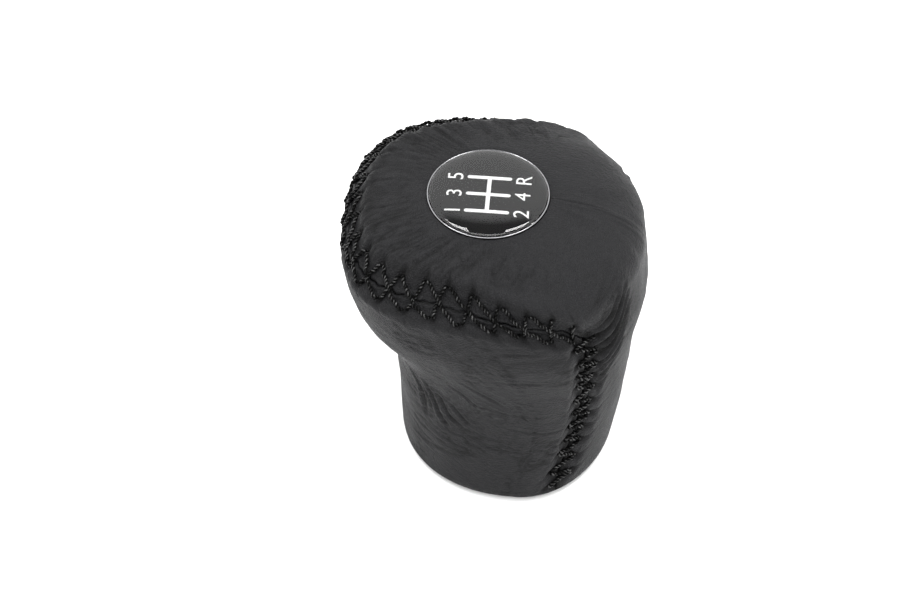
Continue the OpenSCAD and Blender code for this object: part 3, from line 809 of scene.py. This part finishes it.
def plug(node, links=None, values=None):
    """Sets a node's unlinked values, and links sockets, or the first socket of other nodes"""
    for key, value in (values or {}).items():
        node.inputs[key].default_value = value
    for key, source in (links or {}).items():
        socket = source.outputs[0] if isinstance(source, bpy.types.Node) else source
        node.id_data.links.new(socket, node.inputs[key])


def add(tree, kind, links=None, values=None, **settings):
    """A node with its settings, its unlinked values and its links from other nodes"""
    node = tree.nodes.new(kind)
    for key, value in settings.items():
        setattr(node, key, value)
    plug(node, links, values)
    return node


def tinted(tree, factor, low, high):
    """A colour that goes from one to the other with a factor"""
    node = add(tree, "ShaderNodeMix", {"Factor": factor}, data_type="RGBA")
    plug(node, {}, {"A": colour(low), "B": colour(high)})
    return node.outputs["Result"]


def material(name, **values):
    made = bpy.data.materials.new(name)
    made.use_nodes = True
    made.node_tree.nodes.clear()
    tree = made.node_tree
    shader = add(tree, "ShaderNodeBsdfPrincipled", values={k.replace("_", " "): v for k, v in values.items()})
    add(tree, "ShaderNodeOutputMaterial", {"Surface": shader})
    return made, tree, shader, add(tree, "ShaderNodeTexCoord").outputs["Object"]


def mottled(name, size_mm, detail, gloss=None, bumps=None, tint=None, rough=0.5, **values):
    """A finish led by one noise: a range of gloss, bumps (strength, mm) and a pair of tints"""
    made, tree, shader, place = material(name, **values)
    mottle = add(tree, "ShaderNodeTexNoise", {"Vector": place},
                 {"Scale": 1 / (size_mm * MM), "Detail": detail, "Roughness": rough})
    if gloss:
        span = add(tree, "ShaderNodeMapRange", {"Value": mottle}, {"To Min": gloss[0], "To Max": gloss[1]})
        plug(shader, {"Roughness": span})
    if bumps:
        skin = add(tree, "ShaderNodeBump", {"Height": mottle},
                   {"Strength": bumps[0], "Distance": bumps[1] * MM})
        plug(shader, {"Normal": skin})
    if tint:
        plug(shader, {"Base Color": tinted(tree, mottle, *tint)})
    return made, tree, shader, place


print("mid grey in linear light is", round(colour("#808080")[0], 3))

# %% [markdown]
# ## Black leather
# The cover is chrome tanned cowhide, dyed through, with a thin satin finish sprayed over a
# pressed pebble grain of about half a millimetre. The eye reads it by three things: the pebbles'
# tiny creases, a sheen that brightens at the far rims, and broad cloudy changes of gloss.

# %% Leather
leather, tree, shader, place = material("finished_cowhide", IOR=1.5)
grain_mm, pore_mm, wrinkle_mm, cloud_mm, bend_mm = 0.5, 0.16, 1.6, 9, 1.4
bend = add(tree, "ShaderNodeTexNoise", {"Vector": place}, {"Scale": 1 / (bend_mm * MM), "Detail": 2})
shift = add(tree, "ShaderNodeVectorMath", {0: bend.outputs["Color"]}, {1: (0.5, 0.5, 0.5)},
            operation="SUBTRACT")
shift = add(tree, "ShaderNodeVectorMath", {0: shift}, {"Scale": 0.5 * MM}, operation="SCALE")
warped = add(tree, "ShaderNodeVectorMath", {0: place, 1: shift}, operation="ADD")
pebbles = add(tree, "ShaderNodeTexVoronoi", {"Vector": warped}, {"Scale": 1 / (grain_mm * MM)},
              feature="DISTANCE_TO_EDGE")
pebble_h = add(tree, "ShaderNodeMapRange", {"Value": pebbles.outputs["Distance"]},
               {"From Min": 0.0, "From Max": 0.25}, interpolation_type="SMOOTHSTEP")
pores = add(tree, "ShaderNodeTexNoise", {"Vector": place}, {"Scale": 1 / (pore_mm * MM), "Detail": 3})
cloud = add(tree, "ShaderNodeTexNoise", {"Vector": place}, {"Scale": 1 / (cloud_mm * MM), "Detail": 4})
wrinkles = add(tree, "ShaderNodeTexNoise", {"Vector": warped},
               {"Scale": 1 / (wrinkle_mm * MM), "Detail": 4, "Distortion": 0.6})
height = add(tree, "ShaderNodeMath", {0: pebble_h, 1: pores}, operation="ADD")
patchy = add(tree, "ShaderNodeMapRange", {"Value": cloud},
             {"From Min": 0.35, "From Max": 0.65, "To Min": 1.0, "To Max": 5.5})
height = add(tree, "ShaderNodeMath", {0: wrinkles, 1: patchy, 2: height}, operation="MULTIPLY_ADD")
bump = add(tree, "ShaderNodeBump", {"Height": height}, {"Strength": 0.9, "Distance": 0.11 * MM})
# Painted shade: where the crease attribute is high, in the seams' bands, at the holes and in the folds and
# creases, the colour darkens towards #0d0d0d and the shine drops
valley = add(tree, "ShaderNodeAttribute", attribute_name="crease").outputs["Fac"]
shade = add(tree, "ShaderNodeMix", {"Factor": valley, "A": tinted(tree, cloud, "#161618", "#1d1d1e")},
            {"B": colour("#0d0d0d")}, data_type="RGBA")
gloss = add(tree, "ShaderNodeMapRange", {"Value": cloud},
            {"From Min": 0.3, "From Max": 0.7, "To Min": 0.46, "To Max": 0.58})
sheen = add(tree, "ShaderNodeMapRange", {"Value": valley}, {"To Min": 0.13, "To Max": 0.08})
plug(shader, {"Base Color": shade.outputs["Result"], "Roughness": gloss, "Specular IOR Level": sheen,
              "Normal": bump})
for piece in (skirt, crown):
    piece.data.materials.append(leather)
print(leather.name, "has", len(tree.nodes), "nodes")

# %% [markdown]
# ## The lacing thread
# The thread is waxed polyester, 0.6 mm thick, laid from two plies that wind around each other.
# Each stitch could be a bent cylinder, but the plies are what glints in the light. So one
# Geometry Nodes tree turns every guide line into a twisted cord: it resamples the line, tilts it
# a little more at each step, and sweeps a two lobed section along it.

# %% Guide lines for the stitches


def head_spot(along, across):
    """The turn and height of a point given along and above the head seam"""
    turn = np.interp(along, head_lengths, head_turns)
    return turn, seam_t(turn) + across


def side_spot(climbed, behind, side):
    """The same for a side seam: 1 is the right one and -1 the left one"""
    t = np.interp(climbed, side_lengths, side_ts)
    a = side_turn(t)
    return side * (a + behind / mm_per_degree(a, t)), t


def stitch_lines(holes, legs, spot):
    """One line for each stitch, from inside one hole, over the leather and the gap, into the next"""
    lines = []
    w = np.linspace(0, 1, 25)
    for (i, j), bow in zip(legs, draw.uniform(-stitch_bow, stitch_bow, len(legs))):
        slanted = abs(holes[j] - holes[i])[0] > head_pitch
        step = 0.25 * np.sign(holes[j] - holes[i])[0]
        along = mix(holes[i][0] + step, holes[j][0] - step, w) + bow * np.sin(math.pi * w)
        cross = mix(holes[i][1], holes[j][1], w)
        turn, t = spot(along, cross)
        # The thread is taut from hole to hole, yet the leather's ridges press up around it
        ground = relief(turn, t)
        taut = np.maximum(ground[2], ground[-3]) * 0.3 + 0.7 * mix(ground[2], ground[-3], w)
        over = np.maximum(ground, np.minimum(taut, ground + 0.25)) + 0.38 * lacing_d
        # A slanting stitch crosses over a straight one, and each dives into its holes
        if slanted:
            over += 0.7 * lacing_d * ease(1 - np.abs(w - 0.5) / 0.28)
        dive = np.minimum(w, 1 - w) * np.linalg.norm(holes[j] - holes[i])
        over += 0.24 * bell(dive - 0.75, 0.4) - 1.5 * step_down(dive, 0, 0.85)
        lines.append(outline(turn, t) + outward(turn, t) * over[:, None])
    return lines


def guide(name, lines):
    """A wire mesh of open lines, all with the same number of points"""
    mesh = bpy.data.meshes.new(name)
    n = len(lines[0])
    edges = [(k, k + 1) for k in range(n * len(lines)) if (k + 1) % n]
    mesh.from_pydata((np.concatenate(lines) * MM).tolist(), edges, [])
    return add_object(name, mesh)


head_lines = stitch_lines(head_holes, head_legs, head_spot)
right_lines = stitch_lines(side_holes, side_legs, lambda s, d: side_spot(s, d, 1))
left_lines = stitch_lines(side_holes, side_legs, lambda s, d: side_spot(s, d, -1))
print(len(head_lines), "stitches around the head,", len(left_lines), "down each side")

# %% Thread material
thread, tree, shader, place = mottled("waxed_polyester_thread", 0.12, 3, bumps=(0.5, 0.03),
                                      tint=("#060606", "#0e0e0e"), Roughness=0.28)
# The wax shines in patches of about a millimetre, and only on the crests of the plies: where two plies meet
# there is no shine, which is painted shade
crest = add(tree, "ShaderNodeAttribute", attribute_name="crest").outputs["Fac"]
wax = add(tree, "ShaderNodeTexNoise", {"Vector": place}, {"Scale": 1 / (1.1 * MM), "Detail": 1})
waxed = add(tree, "ShaderNodeMapRange", {"Value": wax},
            {"From Min": 0.42, "From Max": 0.62, "To Min": 0.06, "To Max": 0.75})
top = add(tree, "ShaderNodeMapRange", {"Value": crest}, {"From Min": 0.6, "From Max": 1.0})
sheen = add(tree, "ShaderNodeMath", {0: top, 1: waxed}, operation="MULTIPLY")
plug(shader, {"Specular IOR Level": sheen})
print(thread.name, "has", len(tree.nodes), "nodes")

# %% Tree that lays the thread
lacing = bpy.data.node_groups.new("laid_thread", "GeometryNodeTree")
sockets = {}
for name, kind in (("Guide", "NodeSocketGeometry"), ("Thread radius", "NodeSocketFloat"),
                   ("Plies", "NodeSocketInt"), ("Ply depth", "NodeSocketFloat"),
                   ("Lay", "NodeSocketFloat"), ("Ring spacing", "NodeSocketFloat"),
                   ("Section points", "NodeSocketInt"), ("Material", "NodeSocketMaterial")):
    sockets[name] = lacing.interface.new_socket(name=name, in_out="INPUT", socket_type=kind).identifier
lacing.interface.new_socket(name="Geometry", in_out="OUTPUT", socket_type="NodeSocketGeometry")
given = add(lacing, "NodeGroupInput").outputs
line = add(lacing, "GeometryNodeMeshToCurve", {"Mesh": given["Guide"]})
line = add(lacing, "GeometryNodeResampleCurve", {"Curve": line, "Length": given["Ring spacing"]},
           mode="LENGTH")
run = add(lacing, "GeometryNodeSplineParameter").outputs["Length"]
turns = add(lacing, "ShaderNodeMath", {0: run, 1: given["Lay"]}, operation="DIVIDE")
tilt = add(lacing, "ShaderNodeMath", {0: turns}, {1: 2 * math.pi}, operation="MULTIPLY")
line = add(lacing, "GeometryNodeSetCurveTilt", {"Curve": line, "Tilt": tilt})
section = add(lacing, "GeometryNodeCurvePrimitiveCircle",
              {"Radius": given["Thread radius"], "Resolution": given["Section points"]})
# A ply is one arch of a sine around the section: 1 on its crest and 0 where two plies meet
share = add(lacing, "GeometryNodeSplineParameter").outputs["Factor"]
arch = add(lacing, "ShaderNodeMath", {0: share, 1: given["Plies"]}, operation="MULTIPLY")
arch = add(lacing, "ShaderNodeMath", {0: arch}, {1: math.pi}, operation="MULTIPLY")
arch = add(lacing, "ShaderNodeMath", {0: arch}, operation="SINE")
crest = add(lacing, "ShaderNodeMath", {0: arch}, operation="ABSOLUTE")
sunk = add(lacing, "ShaderNodeMath", {0: crest}, {1: 1.0}, operation="SUBTRACT")
reach = add(lacing, "ShaderNodeMath", {0: sunk, 1: given["Ply depth"]}, {2: 1.0}, operation="MULTIPLY_ADD")
around = add(lacing, "GeometryNodeInputPosition")
lobed = add(lacing, "ShaderNodeVectorMath", {0: around, "Scale": reach}, operation="SCALE")
section = add(lacing, "GeometryNodeStoreNamedAttribute", {"Geometry": section, "Value": crest},
              {"Name": "crest"}, data_type="FLOAT", domain="POINT")
section = add(lacing, "GeometryNodeSetPosition", {"Geometry": section, "Position": lobed})
cord = add(lacing, "GeometryNodeCurveToMesh", {"Curve": line, "Profile Curve": section}, {"Fill Caps": True})
cord = add(lacing, "GeometryNodeSetShadeSmooth", {"Geometry": cord})
cord = add(lacing, "GeometryNodeRealizeInstances", {"Geometry": cord})
cord = add(lacing, "GeometryNodeSetMaterial", {"Geometry": cord, "Material": given["Material"]})
add(lacing, "NodeGroupOutput", {"Geometry": cord})
print(lacing.name, "has", len(lacing.nodes), "nodes, and its inputs are", ", ".join(sockets))

# %% [markdown]
# ## Laying the three runs of thread
# The tree is a recipe, and the three seams are three uses of it. Each result is made a plain
# mesh, because the exported model keeps meshes and not recipes.

# %% Lacing
settings = {"Thread radius": (lacing_d / 2 + 0.07) * MM, "Plies": 2, "Ply depth": 0.45, "Lay": 1.5 * MM,
            "Ring spacing": 0.16 * MM, "Section points": 15, "Material": thread}


def applied(piece):
    """The mesh that a piece's modifiers, or a text's outline, come to"""
    graph = bpy.context.evaluated_depsgraph_get()
    return bpy.data.meshes.new_from_object(piece.evaluated_get(graph))


def laced(name, lines):
    piece = guide(name + "_guide", lines)
    recipe = piece.modifiers.new("lacing", "NODES")
    recipe.node_group = lacing
    for key, value in settings.items():
        recipe[sockets[key]] = value
    mesh = applied(piece)
    mesh.name = name
    piece.modifiers.clear()
    bpy.data.objects.remove(piece)
    print(name, "has", sum(len(p.vertices) - 2 for p in mesh.polygons), "triangles")
    return add_object(name, mesh)


head_lacing = laced("head_lacing_thread", head_lines)
left_lacing = laced("left_lacing_thread", left_lines)
right_lacing = laced("right_lacing_thread", right_lines)

# %% [markdown]
# ## The badge
# The badge is a little sandwich in a recess: a foam pad, a thin bright cup pressed from
# aluminium, a black printed disc, and a lens of clear resin poured over it that holds itself up
# by its own surface tension. Round pieces are lathe work, so each is a profile turned about the
# badge's axis, with enough steps for a reflection to run over it without facets.

# %% Place of the badge
badge_floor_t, badge_print_t, badge_pad_t, seat_gap = 0.6, 0.15, 0.8, 0.04
badge_rim_w, badge_rim_rise, badge_seat_depth, dome_rise, dome_fullness = 0.3, 0.25, 2.9, 1.1, 3
rim_front, rim_rear, rim_side = (outline(a, float(hole_t(np.array(a), badge_d / 2 + badge_clear)))
                                 for a in (0.0, 180.0, 90.0))
badge_z = (rim_front[2] + rim_rear[2] + 2 * rim_side[2]) / 4
badge_tilt = math.atan((rim_front[2] - rim_rear[2]) / (rim_front[1] - rim_rear[1]))
badge_r = badge_d / 2
cup_low = seat_gap - badge_seat_depth + badge_pad_t + seat_gap
print_low = cup_low + badge_floor_t + seat_gap
dome_low = print_low + badge_print_t + seat_gap
dome_r = badge_r - badge_rim_w - seat_gap


def on_badge(points):
    """From the badge's own frame to the knob's"""
    c, s = math.cos(badge_tilt), math.sin(badge_tilt)
    points = np.asarray(points, float)
    return np.stack([points[:, 0], badge_y + c * points[:, 1] - s * points[:, 2],
                     badge_z + s * points[:, 1] + c * points[:, 2]], -1)


def turned_piece(name, profile, finish, steps=144):
    """A profile of (radius, height) from pole to pole, turned about the badge's axis"""
    points, faces, rings = [], [], []
    for r, z in profile:
        if r < 1e-6:
            rings.append([len(points)] * steps)
            points.append((0, 0, z))
        else:
            rings.append(list(range(len(points), len(points) + steps)))
            points += [(r * math.cos(w), r * math.sin(w), z)
                       for w in (2 * math.pi * k / steps for k in range(steps))]
    for a, b in zip(rings, rings[1:]):
        for k in range(steps):
            m = (k + 1) % steps
            face = tuple(dict.fromkeys((a[k], a[m], b[m], b[k])))
            if len(face) > 2:
                faces.append(face)
    piece = mesh_object(name, on_badge(points), faces, finish)
    piece.modifiers.new("crease", "EDGE_SPLIT").split_angle = math.radians(40)
    return piece


def arc(cx, cz, r, start, end, steps):
    return [(cx + r * math.cos(math.radians(a)), cz + r * math.sin(math.radians(a)))
            for a in np.linspace(start, end, steps)]


print("the badge lies", round(badge_z, 1), "mm up and leans", round(math.degrees(badge_tilt), 1), "degrees")

# %% Finishes of the badge
# Rolled aluminium is a soft mirror, so the rim is a thin bright line with blurred reflections
bright = mottled("bright_rolled_aluminium", 0.3, 4, gloss=(0.08, 0.2), Base_Color=colour("#949496"),
                 Metallic=1)[0]
# Black film is deep and nearly free of shine, so the lens over it stays clear and dark
film = mottled("screen_printed_film", 0.2, 2, gloss=(0.25, 0.35), Base_Color=colour("#070708"),
               Specular_IOR_Level=0.05)[0]
# Screen ink is an even white with the faintest mottle where the mesh left it thinner
ink = mottled("white_screen_ink", 0.15, 3, tint=("#f0f0ee", "#ffffff"), Roughness=0.4)[0]
# Poured resin has no tool marks at all: only sharp highlights show where its surface is
resin = material("clear_poured_resin", Roughness=0, Base_Color=colour("#ffffff"), Transmission_Weight=1,
                 IOR=1.5)[0]
print([finish.name for finish in (bright, film, ink, resin)])

# %% Cup, print and lens
rim_round, cup_chamfer = 0.15, 0.2
wall_in = badge_r - badge_rim_w
cup_profile = ([(0, cup_low), (badge_r - cup_chamfer, cup_low), (badge_r, cup_low + cup_chamfer)]
               + arc(badge_r - rim_round, badge_rim_rise - rim_round, rim_round, 0, 90, 6)
               + arc(wall_in + rim_round, badge_rim_rise - rim_round, rim_round, 90, 180, 6)
               + [(wall_in, cup_low + badge_floor_t), (0, cup_low + badge_floor_t)])
cup = turned_piece("badge_cup_rim", cup_profile, bright)

disc_top = print_low + badge_print_t
disc = turned_piece("badge_printed_disc", [(0, print_low), (dome_r, print_low), (dome_r, disc_top),
                                           (0, disc_top)], film)

lens_low = dome_low - 0.08
lens_profile = [(0, lens_low), (dome_r, lens_low)]
lens_profile += [(dome_r * math.cos(w) ** (2 / dome_fullness), badge_rim_rise + dome_rise * math.sin(w))
                 for w in np.linspace(0, math.pi / 2, 40)]
lens_profile[-1] = (0, lens_profile[-1][1])
lens = turned_piece("badge_lens", lens_profile, resin)

# %% [markdown]
# ## The shift pattern
# A knob like this shows the driver where the gears lie. The pattern is screen printed, so it is
# a film of ink four hundredths of a millimetre thick: round ended strokes for the gate, and
# figures from a plain typeface at its ends.

# %% Plates of ink
ink_low, ink_t, stroke_w, figure_h = disc_top - 0.01, 0.04, 0.75, 2.7
slot_x, slot_y, figure_y = 4.1, 3.6, 6.05


def slot_ring(x):
    """A round ended upright bar as a closed outline"""
    half = stroke_w / 2
    return [(x - end * half * math.sin(w), end * (slot_y + half * math.cos(w)))
            for end in (1, -1) for w in np.linspace(-math.pi / 2, math.pi / 2, 13)]


points, faces = [], []


def add_plate(flat, shapes, rim):
    """A plate of ink from flat points, the faces of its top, and the rim's edges"""
    first, n = len(points), len(flat)
    points.extend([(*c, z) for z in (ink_low, ink_low + ink_t) for c in flat])
    for ids in shapes:
        faces.append(tuple(first + n + i for i in ids))
        faces.append(tuple(first + i for i in reversed(ids)))
    faces.extend((first + a, first + b, first + n + b, first + n + a) for a, b in rim)


print("one slot's outline has", len(slot_ring(0)), "points")

# %% Gate and figures
half, rings = stroke_w / 2, [slot_ring(x) for x in (-slot_x, 0, slot_x)]
rings += [[(x + half, -half), (x + slot_x - half, -half), (x + slot_x - half, half), (x + half, half)]
          for x in (-slot_x, 0)]
for ring in rings:
    n = len(ring)
    add_plate(ring, [range(n)], [(k, (k + 1) % n) for k in range(n)])
for body, x, y in (("1", -slot_x, figure_y), ("3", 0, figure_y), ("5", slot_x, figure_y),
                   ("2", -slot_x, -figure_y), ("4", 0, -figure_y), ("R", slot_x, -figure_y)):
    text = bpy.data.curves.new("figure", "FONT")
    text.body, text.size, text.align_x, text.align_y = body, 1.0, "CENTER", "CENTER"
    text.resolution_u = 6
    letter = add_object("figure", text)
    flat = applied(letter)
    co = np.array([v.co[:2] for v in flat.vertices])
    co = (co - (co.max(0) + co.min(0)) / 2) * figure_h / np.ptp(co[:, 1]) + [x, y]
    shapes = [list(f.vertices)[:: 1 if f.normal.z > 0 else -1] for f in flat.polygons]
    sides = [pair for ids in shapes for pair in zip(ids, ids[1:] + ids[:1])]
    # Only the rim's edges belong to one face, so they have no partner the other way round
    add_plate(co, shapes, [(a, b) for a, b in sides if (b, a) not in sides])
    bpy.data.objects.remove(letter)
pattern = mesh_object("shift_pattern_ink", on_badge(points), faces, ink, smooth=False)

# %% [markdown]
# ## The hidden pieces
# The core, the steel insert, the closing cap and the foam pad keep their CAD shapes, which are
# exact. They show only from below or in the gap of a seam, yet each gets its own finish, because
# the part is looked at from every side.

# %% Plastics
# Glass fibres rise to a moulding's skin and leave it dull, with small cloudy changes of gloss
nylon = mottled("glass_filled_nylon", 0.4, 5, gloss=(0.45, 0.65), bumps=(0.3, 0.03),
                Base_Color=colour("#161616"))[0]
# A mould that was eroded by sparks prints fine even pits, which scatter the light
cap = mottled("spark_eroded_abs", 0.18, 4, bumps=(0.6, 0.05), tint=("#141415", "#222223"), rough=0.7,
              Roughness=0.5)[0]
print(nylon.name, "and", cap.name, "are ready")

# %% Steel and foam
# The lathe's feed leaves a ridge every 0.12 mm, in rings on a face and in turns on a cylinder
steel, tree, shader, place = mottled("turned_free_cutting_steel", 3, 4, gloss=(0.22, 0.42),
                                     Base_Color=colour("#b9bbbd"), Metallic=1)
feed_mm = 0.12
radial = add(tree, "ShaderNodeVectorMath", {0: place}, {1: (1, 1, 0)}, operation="MULTIPLY")
radius = add(tree, "ShaderNodeVectorMath", {0: radial}, operation="LENGTH").outputs["Value"]
depth = add(tree, "ShaderNodeSeparateXYZ", {0: place}).outputs["Z"]
feed = add(tree, "ShaderNodeMath", {0: radius, 1: depth}, operation="ADD")
ridge = add(tree, "ShaderNodeMath", {0: feed}, {1: 2 * math.pi / (feed_mm * MM)}, operation="MULTIPLY")
ridge = add(tree, "ShaderNodeMath", {0: ridge}, operation="SINE")
skin = add(tree, "ShaderNodeBump", {"Height": ridge}, {"Strength": 0.35, "Distance": 0.01 * MM})
plug(shader, {"Normal": skin})

# Foam is matt and dark, and its tiny closed cells pit the cut edge
foam, tree, shader, place = material("closed_cell_foam", Base_Color=colour("#303030"), Roughness=0.9)
cells = add(tree, "ShaderNodeTexVoronoi", {"Vector": place}, {"Scale": 1 / (0.25 * MM)})
skin = add(tree, "ShaderNodeBump", {"Height": cells}, {"Strength": 0.7, "Distance": 0.06 * MM})
plug(shader, {"Normal": skin})

for node, finish in (("core", nylon), ("base_cap", cap), ("lever_insert", steel), ("badge_pad", foam)):
    nodes[node].data.materials.clear()
    nodes[node].data.materials.append(finish)
    print(node, "is finished in", finish.name)

# %% [markdown]
# ## Riding on the frame
# Nothing on this knob moves, so every piece rides on the one body. The soft CAD panels, the
# straight rods of thread and the faceted lens are replaced by the pieces made above.

# %% Riding and replacing
for piece, node, slot_name in (
        (skirt, "skirt_leather", "black_leather"), (crown, "crown_leather", "black_leather"),
        (head_lacing, "head_lacing", "black_thread"), (left_lacing, "left_lacing", "black_thread"),
        (right_lacing, "right_lacing", "black_thread"), (cup, "badge_cup", "bright_cup"),
        (disc, "badge_print", "black_print"), (lens, "badge_dome", "clear_resin")):
    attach(piece, "root")
    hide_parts(node)
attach(pattern, "root")

# %% [markdown]
# ## Floor and light
# The photograph is a product shot on a white table under broad soft light: the ground is pure
# white, the shadow is only a breath at the foot, and the leather shines where it turns away. A
# pale floor and a bright even sky with a darker top do it, with one large softbox above the
# camera and a small one high over each end of the knob, which the domed badge mirrors.

# %% Table and sky
# White laminate is plain and slightly satin, and takes only the softest shadow
laminate = material("white_table_laminate", Base_Color=colour("#f7f7f7"), Roughness=0.6)[0]
half_table = 3000
floor = mesh_object("floor", [(x * half_table, y * half_table, z) for z in (-4, -0.02)
                              for x, y in ((-1, -1), (1, -1), (1, 1), (-1, 1))],
                    [(3, 2, 1, 0), (4, 5, 6, 7), (0, 1, 5, 4), (1, 2, 6, 5), (2, 3, 7, 6), (3, 0, 4, 7)],
                    laminate, smooth=False)

world = bpy.data.worlds.new("studio")
bpy.context.scene.world = world
world.use_nodes = True
world.node_tree.nodes.clear()
tree = world.node_tree
where = add(tree, "ShaderNodeTexCoord").outputs["Generated"]
rise = add(tree, "ShaderNodeSeparateXYZ", {0: where}).outputs["Z"]
sky = add(tree, "ShaderNodeMapRange", {"Value": rise},
          {"From Min": 0.8, "From Max": 0.9, "To Min": 1.7, "To Max": 0.3}, interpolation_type="SMOOTHSTEP")
glow = add(tree, "ShaderNodeBackground", {"Strength": sky}, {"Color": colour("#ffffff")})
add(tree, "ShaderNodeOutputWorld", {"Surface": glow})
print("the table is", 2 * half_table * MM, "m wide")

# %% Softboxes


def softbox(name, turn, height, away, size, power):
    """An area light that looks at the knob from a compass turn and a height, in degrees"""
    light = add_object(name, bpy.data.lights.new(name, "AREA"))
    light.data.shape, light.data.size, light.data.size_y = "RECTANGLE", *size
    light.data.energy = power
    a, e = math.radians(turn), math.radians(height)
    way = np.array([math.sin(a) * math.cos(e), -math.cos(a) * math.cos(e), math.sin(e)])
    focus = np.array([0, 0, 0.035])
    x = np.cross([0, 0, 1], way)
    x /= np.linalg.norm(x)
    light.matrix_world = stance(x, np.cross(way, x), way, focus + way * away)


softbox("camera_box", 274, 62, 1.6, (1.4, 0.9), 14)
softbox("nose_box", 175, 67, 1.0, (0.32, 0.34), 5.0)
softbox("rear_box", 15, 68, 1.0, (0.32, 0.34), 5.0)
bpy.context.scene.view_settings.view_transform = "Standard"
